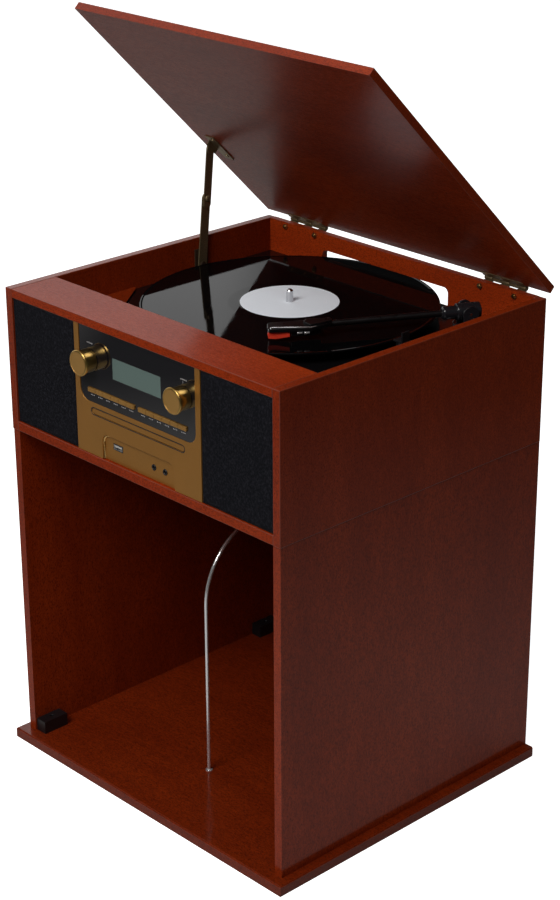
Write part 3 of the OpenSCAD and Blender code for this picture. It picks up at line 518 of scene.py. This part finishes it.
def make_ledge():
    """The veneered ledge in the well's front left corner, beside the deck."""
    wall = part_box("unit_side_left")[1].x + 0.2 * MM
    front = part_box("well_front_board")[1].y + 0.3 * MM
    broad = wall + 52 * MM
    outline = [(wall, front), (broad, front), (broad, front + 36 * MM), (wall + 4 * MM, spindle.y - 64 * MM),
               (wall, spindle.y - 62 * MM)]
    mesh = bmesh.new()
    add_plate(mesh, outline, Matrix.Translation((0, 0, deck_top + 0.05 * MM)), 1.0 * MM)
    soften(piece("well_ledge", mesh, "cabinet", wood_ledge, smooth=False), 0.3 * MM, 2)


make_ledge()

for name, material, ease in (
    ("corner_blocks", black, 0.8), ("case_screws", yellow_zinc, 0.15), ("record_divider", wire_chrome, 0),
    ("speakers", cone_paper, 0.3), ("fascia", gold, 0.35), ("display_panel", panel_black, 0.25),
    ("front_sockets", black, 0.15), ("control_board", board_material(), 0), ("cd_tray", gold, 0.3),
    ("cd_mechanism", steel, 0.3), ("power_supply", steel, 0.8), ("rear_socket_plate", black, 0.3),
    ("deck_plate", deck_black, 0.5), ("motor", steel, 0.5), ("drive_belt", rubber, 0),
    ("tonearm_base", arm_black, 0.4), ("tonearm_gimbal", arm_black, 0.4), ("arm_rest", black, 0.4),
    ("speed_switch", black, 0.6), ("hinge_box_leaves", bronze, 0.15), ("hinge_lid_leaves", bronze, 0.15),
    ("stay_wall_bracket", shaded_bronze, 0.2), ("stay_lower_arm", bronze, 0.35),
    ("stay_upper_arm", bronze, 0.35), ("stay_lid_bracket", bronze, 0.25),
    ("platter_mat", rubber, 0.3), ("lcd_screen", lcd_material(), 0.15),
):
    finish_node(name, material, ease * MM)
for i in range(1, 13):
    finish_node(f"key_{i}", gold_key, 0.3 * MM)
finish_node("platter", turned("turned_platter", (0.66, 0.66, 0.68), 0.3, spindle, Z, 0.0006))
finish_node("spindle", turned("turned_spindle", (0.70, 0.70, 0.72), 0.12, spindle, Z, 0.0004))
pulley = Vector(joints["pulley_spin"]["pos_m"])
finish_node("motor_pulley", turned("turned_brass", (0.62, 0.45, 0.18), 0.25, pulley, Z, 0.0005))

# ---------------------------------------------------------------- record

label_r, dead_r = 50 * MM, 62 * MM
vinyl = vinyl_material("grooved_vinyl", spindle, True, 1.15)
smooth_vinyl = vinyl_material("smooth_vinyl", spindle, False, 1.135)


def make_record():
    """The record, with a raised rim and label and a grooved band between them, and its paper label."""
    thick = record_high.z - record_low.z
    rim, groove_depth, label_step = 3.4 * MM, 0.3 * MM, 0.12 * MM
    middle = thick / 2
    top = (
        [(hole_r, thick - label_step), (label_r + 0.8 * MM, thick - label_step)]
        + [(label_r + 1.6 * MM, thick - groove_depth), (dead_r, thick - groove_depth)]
        + [(record_r - rim, thick - groove_depth)]
        + [(record_r - rim + 1.5 * MM, thick - 0.02 * MM)]
        + arc((record_r - 0.9 * MM, thick - 0.9 * MM), 0.9 * MM, 90, 0, 5)
    )
    under = [(r, thick - h) for r, h in reversed(top)]
    outline = top + under + [top[0]]
    base = Vector((spindle.x, spindle.y, record_low.z))
    made = piece("record", lathe(outline, base, Z, 192), "platter", vinyl, smooth=False)
    made.modifiers.new("joined", "WELD").merge_threshold = 1e-6
    made.data.materials.append(smooth_vinyl)
    for face in made.data.polygons:
        face.use_smooth = abs(face.normal.z) < 0.98
        out = math.hypot(face.center.x - spindle.x, face.center.y - spindle.y)
        face.material_index = 0 if dead_r < out < record_r - rim else 1
    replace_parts(made, "vinyl_record")

    sheet_t = 0.1 * MM
    label = lathe(
        [(hole_r + 0.1 * MM, 0), (label_r, 0), (label_r, sheet_t * 0.6), (label_r - 0.4 * MM, sheet_t),
         (37 * MM, sheet_t), (36.6 * MM, sheet_t * 0.5), (36 * MM, sheet_t * 0.5), (35.6 * MM, sheet_t),
         (hole_r + 0.1 * MM, sheet_t), (hole_r + 0.1 * MM, 0)],
        Vector((spindle.x, spindle.y, record_top - label_step)), Z, 160)
    bmesh.ops.remove_doubles(label, verts=label.verts, dist=1e-7)
    piece("record_label", label, "platter", paper, smooth=False)


make_record()

# ---------------------------------------------------------------- knobs


def make_knob(side, body):
    """A turned knob: a thin front disc with a bright lip, a waist, a foot ring and its shaft."""
    low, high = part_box(body)
    centre = Vector(((low.x + high.x) / 2, 0, (low.z + high.z) / 2))
    radius = (high.x - low.x) / 2
    depth = panel_y - 0.4 * MM - low.y
    barrel = radius - 1.4 * MM
    outline = (
        [(0, 0.3 * MM), (radius - 1.9 * MM, 0.3 * MM), (radius - 1.7 * MM, 0)]
        + arc((radius - 1.4 * MM, 1.4 * MM), 1.4 * MM, -90, 0, 6)
        + [(radius, 2.6 * MM), (radius - 0.3 * MM, 2.9 * MM)]
        + [(barrel - 0.5 * MM, 3.0 * MM), (barrel - 0.5 * MM, 3.5 * MM), (barrel, 3.7 * MM)]
        + [(barrel, depth - 0.8 * MM), (barrel - 0.6 * MM, depth), (3 * MM, depth)]
        + [(3 * MM, high.y - low.y), (0, high.y - low.y)]
    )
    face = turned(f"knob_face_{side}", (0.66, 0.37, 0.105), 0.4, centre, Y, 0.0005, metallic=0.7)
    barrel_metal = turned(f"knob_barrel_{side}", (0.62, 0.40, 0.12), 0.3, centre, Y, 0.0005)
    made = piece(body + "_turned", lathe(outline, Vector((centre.x, low.y, centre.z)), Y, 128),
                 body, face)
    made.data.materials.append(barrel_metal)
    for polygon in made.data.polygons:
        out = math.hypot(polygon.center.x - centre.x, polygon.center.z - centre.z)
        polygon.material_index = 0 if out < radius - 1.6 * MM and polygon.center.y < low.y + 1 * MM else 1
    made.data.set_sharp_from_angle(angle=math.radians(38))
    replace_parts(made, body)
    return made


make_knob("left", "knob_left")
make_knob("right", "knob_right")


# ---------------------------------------------------------------- front panel print and trim


def make_panel_marks():
    """Plain printed dashes: over the knobs, under the keys and beside the right knob."""
    mesh = bmesh.new()
    proud = 0.06 * MM

    def dash(x, z, half_w, half_h):
        add_plate(mesh, rounded(half_w, half_h, min(half_w, half_h) * 0.5, 2),
                  facing_front(x, panel_y + 0.02 * MM, z), proud)

    for body in ("knob_left", "knob_right"):
        low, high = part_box(body)
        x, z = (low.x + high.x) / 2, (low.z + high.z) / 2
        for i in range(5):
            dash(x - 3.6 * MM + i * 1.8 * MM, z + 17.0 * MM, 0.6 * MM, 0.75 * MM)
    low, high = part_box("knob_right")
    dash((low.x + high.x) / 2 - 1 * MM, (low.z + high.z) / 2 + 14.2 * MM, 0.25 * MM, 1.2 * MM)
    for i in range(1, 13):
        low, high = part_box(f"key_{i}")
        x, z = (low.x + high.x) / 2, low.z
        for k in range(3):
            dash(x - 2.2 * MM + k * 2.2 * MM, z - 3.1 * MM, 0.7 * MM, 0.55 * MM)
    return piece("panel_marks", mesh, "cabinet", print_white, smooth=False)


make_panel_marks()


def make_gap_shade():
    """Painted shade: a flush black ring stands in for the shadow in the gap round the tray's front."""
    mesh = bmesh.new()
    half_w, half_h, width = 67.9 * MM, 3.2 * MM, 0.95 * MM
    z = (tray_low.z + tray_high.z) / 2
    add_plate(mesh, rounded(half_w + width, half_h + width, half_h + width - 1e-5, 10),
              facing_front(0, gold_y + 0.02 * MM, z), 0.1 * MM,
              rounded(half_w, half_h, half_h - 1e-5, 10))
    return soften(piece("tray_gap", mesh, "cabinet", rubber, smooth=False), 0.03 * MM, 2)


make_gap_shade()


def make_recess_edge():
    """The polished rounded edge down the left of the socket recess and round its top corner, in a far lighter
    gold: a painted highlight.
    """
    recess_half, recess_high, inset = 53, 26.3, 0.9
    side, top = -(recess_half - inset) * MM, fascia_low.z + (recess_high - inset) * MM
    floor_y, bend, thick = gold_y + 2.1 * MM, 7.1 * MM, 1.25 * MM
    path = [Vector((side, floor_y, fascia_low.z + 0.8 * MM)), Vector((side, floor_y, top - bend))]
    for step in range(1, 8):
        turn = math.radians(180 - 90 * step / 7)
        path.append(Vector((side + bend + bend * math.cos(turn), floor_y,
                            top - bend + bend * math.sin(turn))))
    path.append(path[-1] + X * 4 * MM)
    shrink = [1.0] * (len(path) - 3) + [0.75, 0.5, 0.2]
    edge = piece("recess_edge", tube(path, [thick * part for part in shrink], 20), "cabinet",
                 highlight_gold)
    edge.data.set_sharp_from_angle(angle=math.radians(40))


make_recess_edge()

jack_mounts = [m for m in frame["record"]["mounts"] if m["name"].endswith("_jack")]
usb_box = next(o for o in frame["record"]["physics"]["openings"] if o["name"] == "usb_socket_mouth")["box_m"]


def make_front_sockets():
    """The USB socket's steel shell and white tongue, and a ring for each jack."""
    low, high = Vector(usb_box[0]), Vector(usb_box[1])
    x, z = (low.x + high.x) / 2, (low.z + high.z) / 2
    face = sockets_y + 0.4 * MM
    shell = bmesh.new()
    add_plate(shell, rounded(6.15 * MM, 2.45 * MM, 0.5 * MM, 3), facing_front(x, face + 9 * MM, z),
              9.15 * MM, rounded(5.7 * MM, 2.0 * MM, 0.3 * MM, 3))
    piece("usb_shell", shell, "cabinet", chrome, smooth=False)
    tongue = bmesh.new()
    add_plate(tongue, rounded(5.62 * MM, 0.95 * MM, 0.2 * MM, 2),
              facing_front(x, face + 9 * MM, z + 0.7 * MM), 8.3 * MM)
    piece("usb_tongue", tongue, "cabinet", socket_white, smooth=False)
    for mount in jack_mounts:
        centre = Vector(mount["pos_m"])
        centre.y = sockets_y
        bore = mount["dims"]["r_mm"] * MM
        ring = lathe(
            [(bore, 0.3 * MM), (bore + 0.35 * MM, -0.25 * MM), (bore + 0.9 * MM, -0.35 * MM)]
            + [(3.0 * MM, -0.1 * MM), (3.1 * MM, 0.45 * MM), (bore, 0.45 * MM), (bore, 0.3 * MM)],
            centre, Y, 48)
        bmesh.ops.remove_doubles(ring, verts=ring.verts, dist=1e-7)
        piece(f"{mount['name']}_ring", ring, "cabinet", black)


# ---------------------------------------------------------------- grilles


cloth = cloth_material()


def make_grille(side, name):
    """A moulded frame with cloth drawn over its front and round its edges."""
    low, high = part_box("grilles")
    inner = fascia_high.x + 0.3 * MM
    x0, x1 = (inner, high.x) if side > 0 else (low.x, -inner)
    centre_x, centre_z = (x0 + x1) / 2, (low.z + high.z) / 2
    half_w, half_h = (x1 - x0) / 2, (high.z - low.z) / 2
    cloth_t, rail = 0.5 * MM, 9 * MM
    frame_mesh = bmesh.new()
    add_plate(frame_mesh, rounded(half_w - cloth_t, half_h - cloth_t, 1.2 * MM, 3),
              facing_front(centre_x, high.y, centre_z), high.y - low.y - cloth_t,
              rounded(half_w - rail, half_h - rail, 1.2 * MM, 3))
    board = piece(f"grille_frame_{name}", frame_mesh, "cabinet", black, smooth=False)
    soften(board, 0.4 * MM, 2)

    sheet_mesh = bmesh.new()
    wrap = 2.2 * MM
    bend = 0.9 * MM
    columns, rows = 56, 52
    grid = {}
    for i in range(columns + 1):
        for j in range(rows + 1):
            u, v = 2 * i / columns - 1, 2 * j / rows - 1
            reach = max(abs(u), abs(v))
            x, z = u * half_w, v * half_h
            edge = min(half_w - abs(x), half_h - abs(z))
            back = bend - math.sqrt(max(bend**2 - max(bend - edge, 0) ** 2, 0)) if edge < bend else 0
            sag = 0.25 * MM * (1 - u * u) * (1 - v * v)
            y = low.y + back + (sag if reach < 1 else 0)
            grid[i, j] = sheet_mesh.verts.new((centre_x + x, y, centre_z + z))
    for i in range(columns):
        for j in range(rows):
            sheet_mesh.faces.new([grid[i, j], grid[i + 1, j], grid[i + 1, j + 1], grid[i, j + 1]])
    rim = [e for e in sheet_mesh.edges if e.is_boundary]
    out = bmesh.ops.extrude_edge_only(sheet_mesh, edges=rim)["geom"]
    for v in (g for g in out if isinstance(g, bmesh.types.BMVert)):
        v.co.y += wrap - bend
    front = piece(f"grille_cloth_{name}", sheet_mesh, "cabinet", cloth)
    thick = front.modifiers.new("thickness", "SOLIDIFY")
    thick.thickness = 0.4 * MM
    thick.offset = -1
    return board


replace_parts(make_grille(-1, "left"), "grilles")
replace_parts(make_grille(1, "right"), "grilles")


# ---------------------------------------------------------------- tonearm


stylus_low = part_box("cartridge")[0]
reach, head_turn = 196 * MM, math.radians(-14)
lift_axis = Vector(joints["arm_lift"]["axis"])
along = Vector((-lift_axis.y, lift_axis.x, 0)).normalized()
arm_place = Matrix.Translation(arm_pivot) @ Matrix((along, Z.cross(along), Z)).transposed().to_4x4()
head_place = Matrix.Translation((reach, 0, 0)) @ Matrix.Rotation(head_turn, 4, "Z")


def add_along_arm(mesh):
    """Moves a mesh drawn along X from the tonearm's pivot to its place."""
    mesh.transform(arm_place)
    return mesh


def make_tonearm():
    """Straight black tube, a collar, the counterweight round the pivot and a broad headshell."""
    tilt = math.radians(0.3)
    count, length = 14, 146
    points = [Vector((length * MM * i / count, 0, -math.sin(tilt) * length * MM * i / count))
              for i in range(count + 1)]
    radii = [(3.3 - 0.3 * i / count) * MM for i in range(count + 1)]
    rod = piece("arm_tube", add_along_arm(tube(points, radii, 32)), "tonearm", shell_black)
    rod.data.set_sharp_from_angle(angle=math.radians(40))
    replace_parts(rod, "tonearm")

    low, under, high, neck_high = -7.5 * MM, -2.0 * MM, 2.0 * MM, 4.2 * MM
    shell = bmesh.new()
    outline = (
        [(137 * MM, 4.0 * MM), (137 * MM, -4.0 * MM), (150 * MM, -5.6 * MM), (163 * MM, -8.8 * MM)]
        + arc((reach - 1.5 * MM, -4.5 * MM), 4.5 * MM, -90, -10, 5)
        + arc((reach + 0.5 * MM, 5 * MM), 4.5 * MM, 0, 80, 5)
        + [(160 * MM, 14.5 * MM), (148 * MM, 9.6 * MM)]
    )
    add_plate(shell, outline, Matrix.Translation((0, 0, under)), high - under)
    soften(piece("arm_shell", add_along_arm(shell), "tonearm", shell_black, smooth=False),
           0.6 * MM, 3, 40)
    neck = bmesh.new()
    sides = [(137, -3.6), (150, -5.2), (161, -6), (165, 2), (161, 11), (149, 8.6), (137, 3.6)]
    add_plate(neck, [(a * MM, b * MM) for a, b in sides], Matrix.Translation((0, 0, high - 0.4 * MM)),
              neck_high - high + 0.4 * MM)
    soften(piece("arm_neck", add_along_arm(neck), "tonearm", shell_black, smooth=False),
           0.6 * MM, 3, 40)
    body = bmesh.new()
    sides = [(146, -3.5), (163, -5), (176, -2.5), (178.5, 9), (160, 11.5), (149, 8)]
    add_plate(body, [(a * MM, b * MM) for a, b in sides], Matrix.Translation((0, 0, low)),
              under - low + 0.2 * MM)
    soften(piece("arm_body", add_along_arm(body), "tonearm", shell_black, smooth=False),
           0.8 * MM, 3, 40)

    path = [(200.6, 7.5, -1.5), (200.2, 7.3, 0.6), (198, 6.8, 2.2), (193.5, 7.0, 2.4), (176, 11.0, 2.4),
            (161, 14.0, 2.3), (154, 12.0, 1.9)]
    lift = tube([Vector(p) * MM for p in path], [0.5 * MM] * len(path), 12)
    piece("finger_lift", add_along_arm(lift), "tonearm", wire_chrome)
    pins = bmesh.new()
    for at, out in ((168.3, 11.6), (161.6, 12.8)):
        add_lathe(pins, [(0, 0)] + arc((0.9 * MM, 0.4 * MM), 0.4 * MM, -90, 0, 3) + [(1.3 * MM, 4.6 * MM)]
                  + arc((0.9 * MM, 4.8 * MM), 0.4 * MM, 0, 90, 3) + [(0, 5.2 * MM)],
                  Vector((at * MM, out * MM, -3.4 * MM)), X, 20)
    pinned = piece("arm_pins", add_along_arm(pins), "tonearm", wire_chrome)
    pinned.data.set_sharp_from_angle(angle=math.radians(35))

    weight = bmesh.new()
    half_l, r = 12 * MM, 8.5 * MM
    profile = [(0, -half_l)] + arc((r - 1 * MM, -half_l + 1 * MM), 1 * MM, -90, 0, 4)
    for k in range(-3, 4):
        mid = k * 2.4 * MM
        profile += [(r, mid - 0.4 * MM), (r - 0.5 * MM, mid - 0.2 * MM), (r - 0.5 * MM, mid + 0.2 * MM),
                    (r, mid + 0.4 * MM)]
    profile += arc((r - 1 * MM, half_l - 1 * MM), 1 * MM, 0, 90, 4) + [(0, half_l)]
    add_lathe(weight, profile, Vector((0, 0, 0)), X, 64)
    heavy = piece("arm_weight", add_along_arm(weight), "tonearm", arm_black)
    heavy.data.set_sharp_from_angle(angle=math.radians(35))

    collar = lathe([(0, 11 * MM), (6.5 * MM, 11 * MM), (6.5 * MM, 24 * MM)]
                   + arc((5.0 * MM, 24.2 * MM), 1.5 * MM, 0, 80, 4) + [(4.2 * MM, 27 * MM), (0, 27 * MM)],
                   Vector((0, 0, 0)), Vector((math.cos(tilt), 0, -math.sin(tilt))), 48)
    ring = piece("arm_collar", add_along_arm(collar), "tonearm", arm_black)
    ring.data.set_sharp_from_angle(angle=math.radians(35))

    for side in (-1, 1):
        pin = lathe([(0, 0), (1.5 * MM, 0), (1.5 * MM, 4.6 * MM)] + [(0, 4.8 * MM)],
                    Vector((0, side * 7.2 * MM, 0)), Vector((0, side, 0)), 32)
        name = "near" if side > 0 else "far"
        trunnion = piece(f"arm_trunnion_{name}", add_along_arm(pin), "tonearm", chrome)
        trunnion.data.set_sharp_from_angle(angle=math.radians(35))


make_tonearm()


def make_stylus():
    """Red stylus holder shaped as a wedge, the cantilever and the tip."""
    top, tip = -1.9 * MM, stylus_low.z - arm_pivot.z
    wedge = bmesh.new()
    side = [(-17.8 * MM, top), (2.4 * MM, top), (3.8 * MM, top - 3 * MM), (2.8 * MM, tip + 2.6 * MM),
            (-4 * MM, tip + 2.0 * MM), (-17.8 * MM, tip + 4.4 * MM)]
    place = Matrix.Translation((0, 6.3 * MM, 0)) @ Matrix.Rotation(math.radians(90), 4, "X")
    add_plate(wedge, side, place, 12.6 * MM)
    wedge.transform(head_place)
    holder = piece("stylus_holder", add_along_arm(wedge), "tonearm", stylus_red, smooth=False)
    soften(holder, 0.8 * MM, 3, 25)
    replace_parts(holder, "cartridge")
    needle = tube([Vector((-7 * MM, 0, tip + 2.4 * MM)), Vector((-0.4 * MM, 0, tip + 1.2 * MM)),
                   Vector((0, 0, tip + 0.8 * MM)), Vector((0, 0, tip))],
                  [0.4 * MM, 0.32 * MM, 0.25 * MM, 0.06 * MM], 12)
    needle.transform(head_place)
    piece("stylus_tip", add_along_arm(needle), "tonearm", chrome)


make_stylus()


# ---------------------------------------------------------------- small hardware


def screw_head(mesh, centre, axis, radius, height):
    """A domed screw head, turned as a dome with a round hollow in its top."""
    dome = [(0, height * 0.45), (radius * 0.22, height * 0.5), (radius * 0.3, height * 0.98)]
    dome += [(radius * math.cos(math.radians(a)), height * math.sin(math.radians(a)))
             for a in (70, 50, 30, 10, 0)]
    add_lathe(mesh, dome + [(radius, -0.02 * MM), (0, -0.02 * MM)], centre, axis, 24)


def make_hinge_screws():
    """Screws of the lid's leaves, in the lid's underside, which lies open by the lid's angle."""
    hinge = Vector(joints["lid_hinge"]["pos_m"])
    angle = math.radians(joints["lid_hinge"]["range_deg"][1])
    opened = Matrix.Translation(hinge) @ Matrix.Rotation(-angle, 4, "X")
    low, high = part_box("hinge_lid_leaves")
    width, pitch, back, down = 54 * MM, 20 * MM, -8.6 * MM, -0.9 * MM
    mesh = bmesh.new()
    for x in (low.x + width / 2, high.x - width / 2):
        for step in (-1, 0, 1):
            centre = opened @ Vector((x + step * pitch, back, down))
            screw_head(mesh, centre, opened.to_3x3() @ -Z, 1.7 * MM, 0.25 * MM)
    made = piece("hinge_leaf_screws", mesh, "lid", yellow_zinc)
    made.data.set_sharp_from_angle(angle=math.radians(50))


make_hinge_screws()


def make_stay_rivets():
    """Domed rivets over the stay's elbow and its pivot on the lid."""
    elbow_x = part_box("stay_upper_arm")[1].x
    lower_pivot, upper_pivot = (Vector(joints[n]["pos_m"]) for n in ("stay_lower_turn", "stay_upper_turn"))
    elbow_share = 0.575
    upper_len = (upper_pivot - lower_pivot).length * (1 - elbow_share)
    down = (lower_pivot - upper_pivot)
    down.x = 0
    elbow = upper_pivot + down.normalized() * upper_len
    for name, centre, body, radius in (
        ("stay_elbow_rivet", Vector((elbow_x, elbow.y, elbow.z)), "stay_upper", 3.6 * MM),
        ("stay_top_rivet", Vector((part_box("stay_lid_bracket")[0].x + 1.6 * MM, upper_pivot.y, upper_pivot.z)),
         "lid", 3.4 * MM),
    ):
        mesh = lathe([(radius, -0.3 * MM), (radius, 0)]
                     + [(radius * math.cos(math.radians(a)), 1.2 * MM * math.sin(math.radians(a)))
                        for a in (20, 40, 60, 80)] + [(0, 1.2 * MM)], centre, X, 32)
        piece(name, mesh, body, bronze)


make_stay_rivets()


def make_line_rings():
    """Coloured rings of the two line-out sockets on the rear plate."""
    low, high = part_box("rear_socket_plate")
    z = (low.z + high.z) / 2
    for x, name, colour in ((30 * MM, "right", socket_red), (48 * MM, "left", socket_white)):
        outline = [(1.7 * MM, 0), (3.7 * MM, 0), (3.7 * MM, 0.5 * MM), (3.2 * MM, 0.8 * MM),
                   (1.7 * MM, 0.8 * MM), (1.7 * MM, 0)]
        ring = lathe(outline, Vector((x, high.y - 0.6 * MM, z)), Y, 40)
        bmesh.ops.remove_doubles(ring, verts=ring.verts, dist=1e-7)
        made = piece(f"line_out_{name}", ring, "cabinet", colour)
        made.data.set_sharp_from_angle(angle=math.radians(35))


make_line_rings()
make_front_sockets()

# ---------------------------------------------------------------- studio

FLOOR_GLOW = 0.95


def make_floor():
    """A pale floor that glows white to the camera, with a painted pool of bounce light near and behind the
    object for all other rays.
    """
    mesh = bmesh.new()
    bmesh.ops.create_grid(mesh, x_segments=1, y_segments=1, size=6)
    data = bpy.data.meshes.new("floor")
    mesh.to_mesh(data)
    mesh.free()
    made = bpy.data.objects.new("floor", data)
    scene.collection.objects.link(made)
    pale = Finish("pale_floor", (0.9, 0.9, 0.9), 0.9)
    mottle = pale.noise(3, 2)
    pale.set("Base Color", pale.ramp(mottle, (0.3, (0.88, 0.88, 0.88)), (0.7, (0.92, 0.92, 0.92))))
    pale.set("Emission Color", (1, 1, 1, 1))
    pale.set("Emission Strength", FLOOR_GLOW)
    # Painted light: to all but camera rays the floor's colour is lighter near the object and behind it to the
    # left, and dark to the front left.
    near = pale.span(pale.radius((0, 0, 0)), 0.62, 0.05, 0.45, 1.35)
    away = pale.node("ShaderNodeVectorMath", {0: pale.place, 1: (-0.8, 0.6, 0)}, operation="DOT_PRODUCT")
    bounce = pale.maths("MAXIMUM", near, pale.span(away.outputs["Value"], 0.0, 0.7, 0.25, 0.6))
    dim = pale.node("ShaderNodeBsdfDiffuse", {"Color": bounce})
    seen = pale.node("ShaderNodeLightPath").outputs["Is Camera Ray"]
    both = pale.node("ShaderNodeMixShader", {0: seen, 1: dim.outputs[0], 2: pale.shader.outputs[0]})
    output = next(n for n in pale.tree.nodes if n.type == "OUTPUT_MATERIAL")
    pale.tree.links.new(both.outputs[0], output.inputs["Surface"])
    data.materials.append(pale.material)


def make_world():
    """White behind and to the left, dim to the right, as in a studio with one large window of light."""
    world = bpy.data.worlds.new("studio")
    scene.world = world
    world.use_nodes = True
    tree = world.node_tree
    tree.nodes.clear()

    def node(kind, **settings):
        made = tree.nodes.new(kind)
        for name, value in settings.items():
            setattr(made, name, value)
        return made

    place = node("ShaderNodeTexCoord")

    def facing(direction, low, high, start, end):
        toward = node("ShaderNodeVectorMath", operation="DOT_PRODUCT")
        toward.inputs[1].default_value = direction
        tree.links.new(place.outputs["Generated"], toward.inputs[0])
        level = node("ShaderNodeMapRange", interpolation_type="SMOOTHSTEP")
        for key, value in {"From Min": start, "From Max": end, "To Min": low, "To Max": high}.items():
            level.inputs[key].default_value = value
        tree.links.new(toward.outputs["Value"], level.inputs["Value"])
        return level.outputs["Result"]

    def times(a, b):
        made = node("ShaderNodeMath", operation="MULTIPLY")
        tree.links.new(a, made.inputs[0])
        tree.links.new(b, made.inputs[1])
        return made.outputs[0]

    left = facing((-0.70, -0.713, 0), 0.0, 1.0, -0.01, 0.05)
    back = facing((-0.3, 0.95, 0), 0.0, 1.0, -0.3, 0.3)
    low_down = facing((0, 0, 1), 1.0, 0.15, 0.5, 0.85)
    screen = node("ShaderNodeMapRange")
    for key, value in {"From Min": 0, "From Max": 1, "To Min": 0.03, "To Max": 1.8}.items():
        screen.inputs[key].default_value = value
    tree.links.new(times(times(left, back), low_down), screen.inputs["Value"])
    around, seen = node("ShaderNodeBackground"), node("ShaderNodeBackground")
    tree.links.new(screen.outputs["Result"], around.inputs["Strength"])
    seen.inputs["Color"].default_value = (1, 1, 1, 1)
    ray, mix, output = node("ShaderNodeLightPath"), node("ShaderNodeMixShader"), node("ShaderNodeOutputWorld")
    tree.links.new(ray.outputs["Is Camera Ray"], mix.inputs[0])
    tree.links.new(around.outputs[0], mix.inputs[1])
    tree.links.new(seen.outputs[0], mix.inputs[2])
    tree.links.new(mix.outputs[0], output.inputs["Surface"])


def make_light(name, place, target, size, power, colour=(1, 1, 1)):
    """A round area light at a place, turned to a target."""
    data = bpy.data.lights.new(name, "AREA")
    data.shape = "DISK"
    data.size = size
    data.energy = power
    data.color = colour
    made = bpy.data.objects.new(name, data)
    made.location = place
    made.rotation_euler = (Vector(target) - Vector(place)).to_track_quat("-Z", "Y").to_euler()
    scene.collection.objects.link(made)


make_floor()
make_world()
middle = (cad_box[0] + cad_box[1]) / 2
make_light("key", middle + Vector((0.35, -2.4, 2.25)), middle, 1.5, 66, (1.0, 0.96, 0.91))
make_light("top", middle + Vector((1.1, -1.4, 2.6)), middle, 1.6, 22)
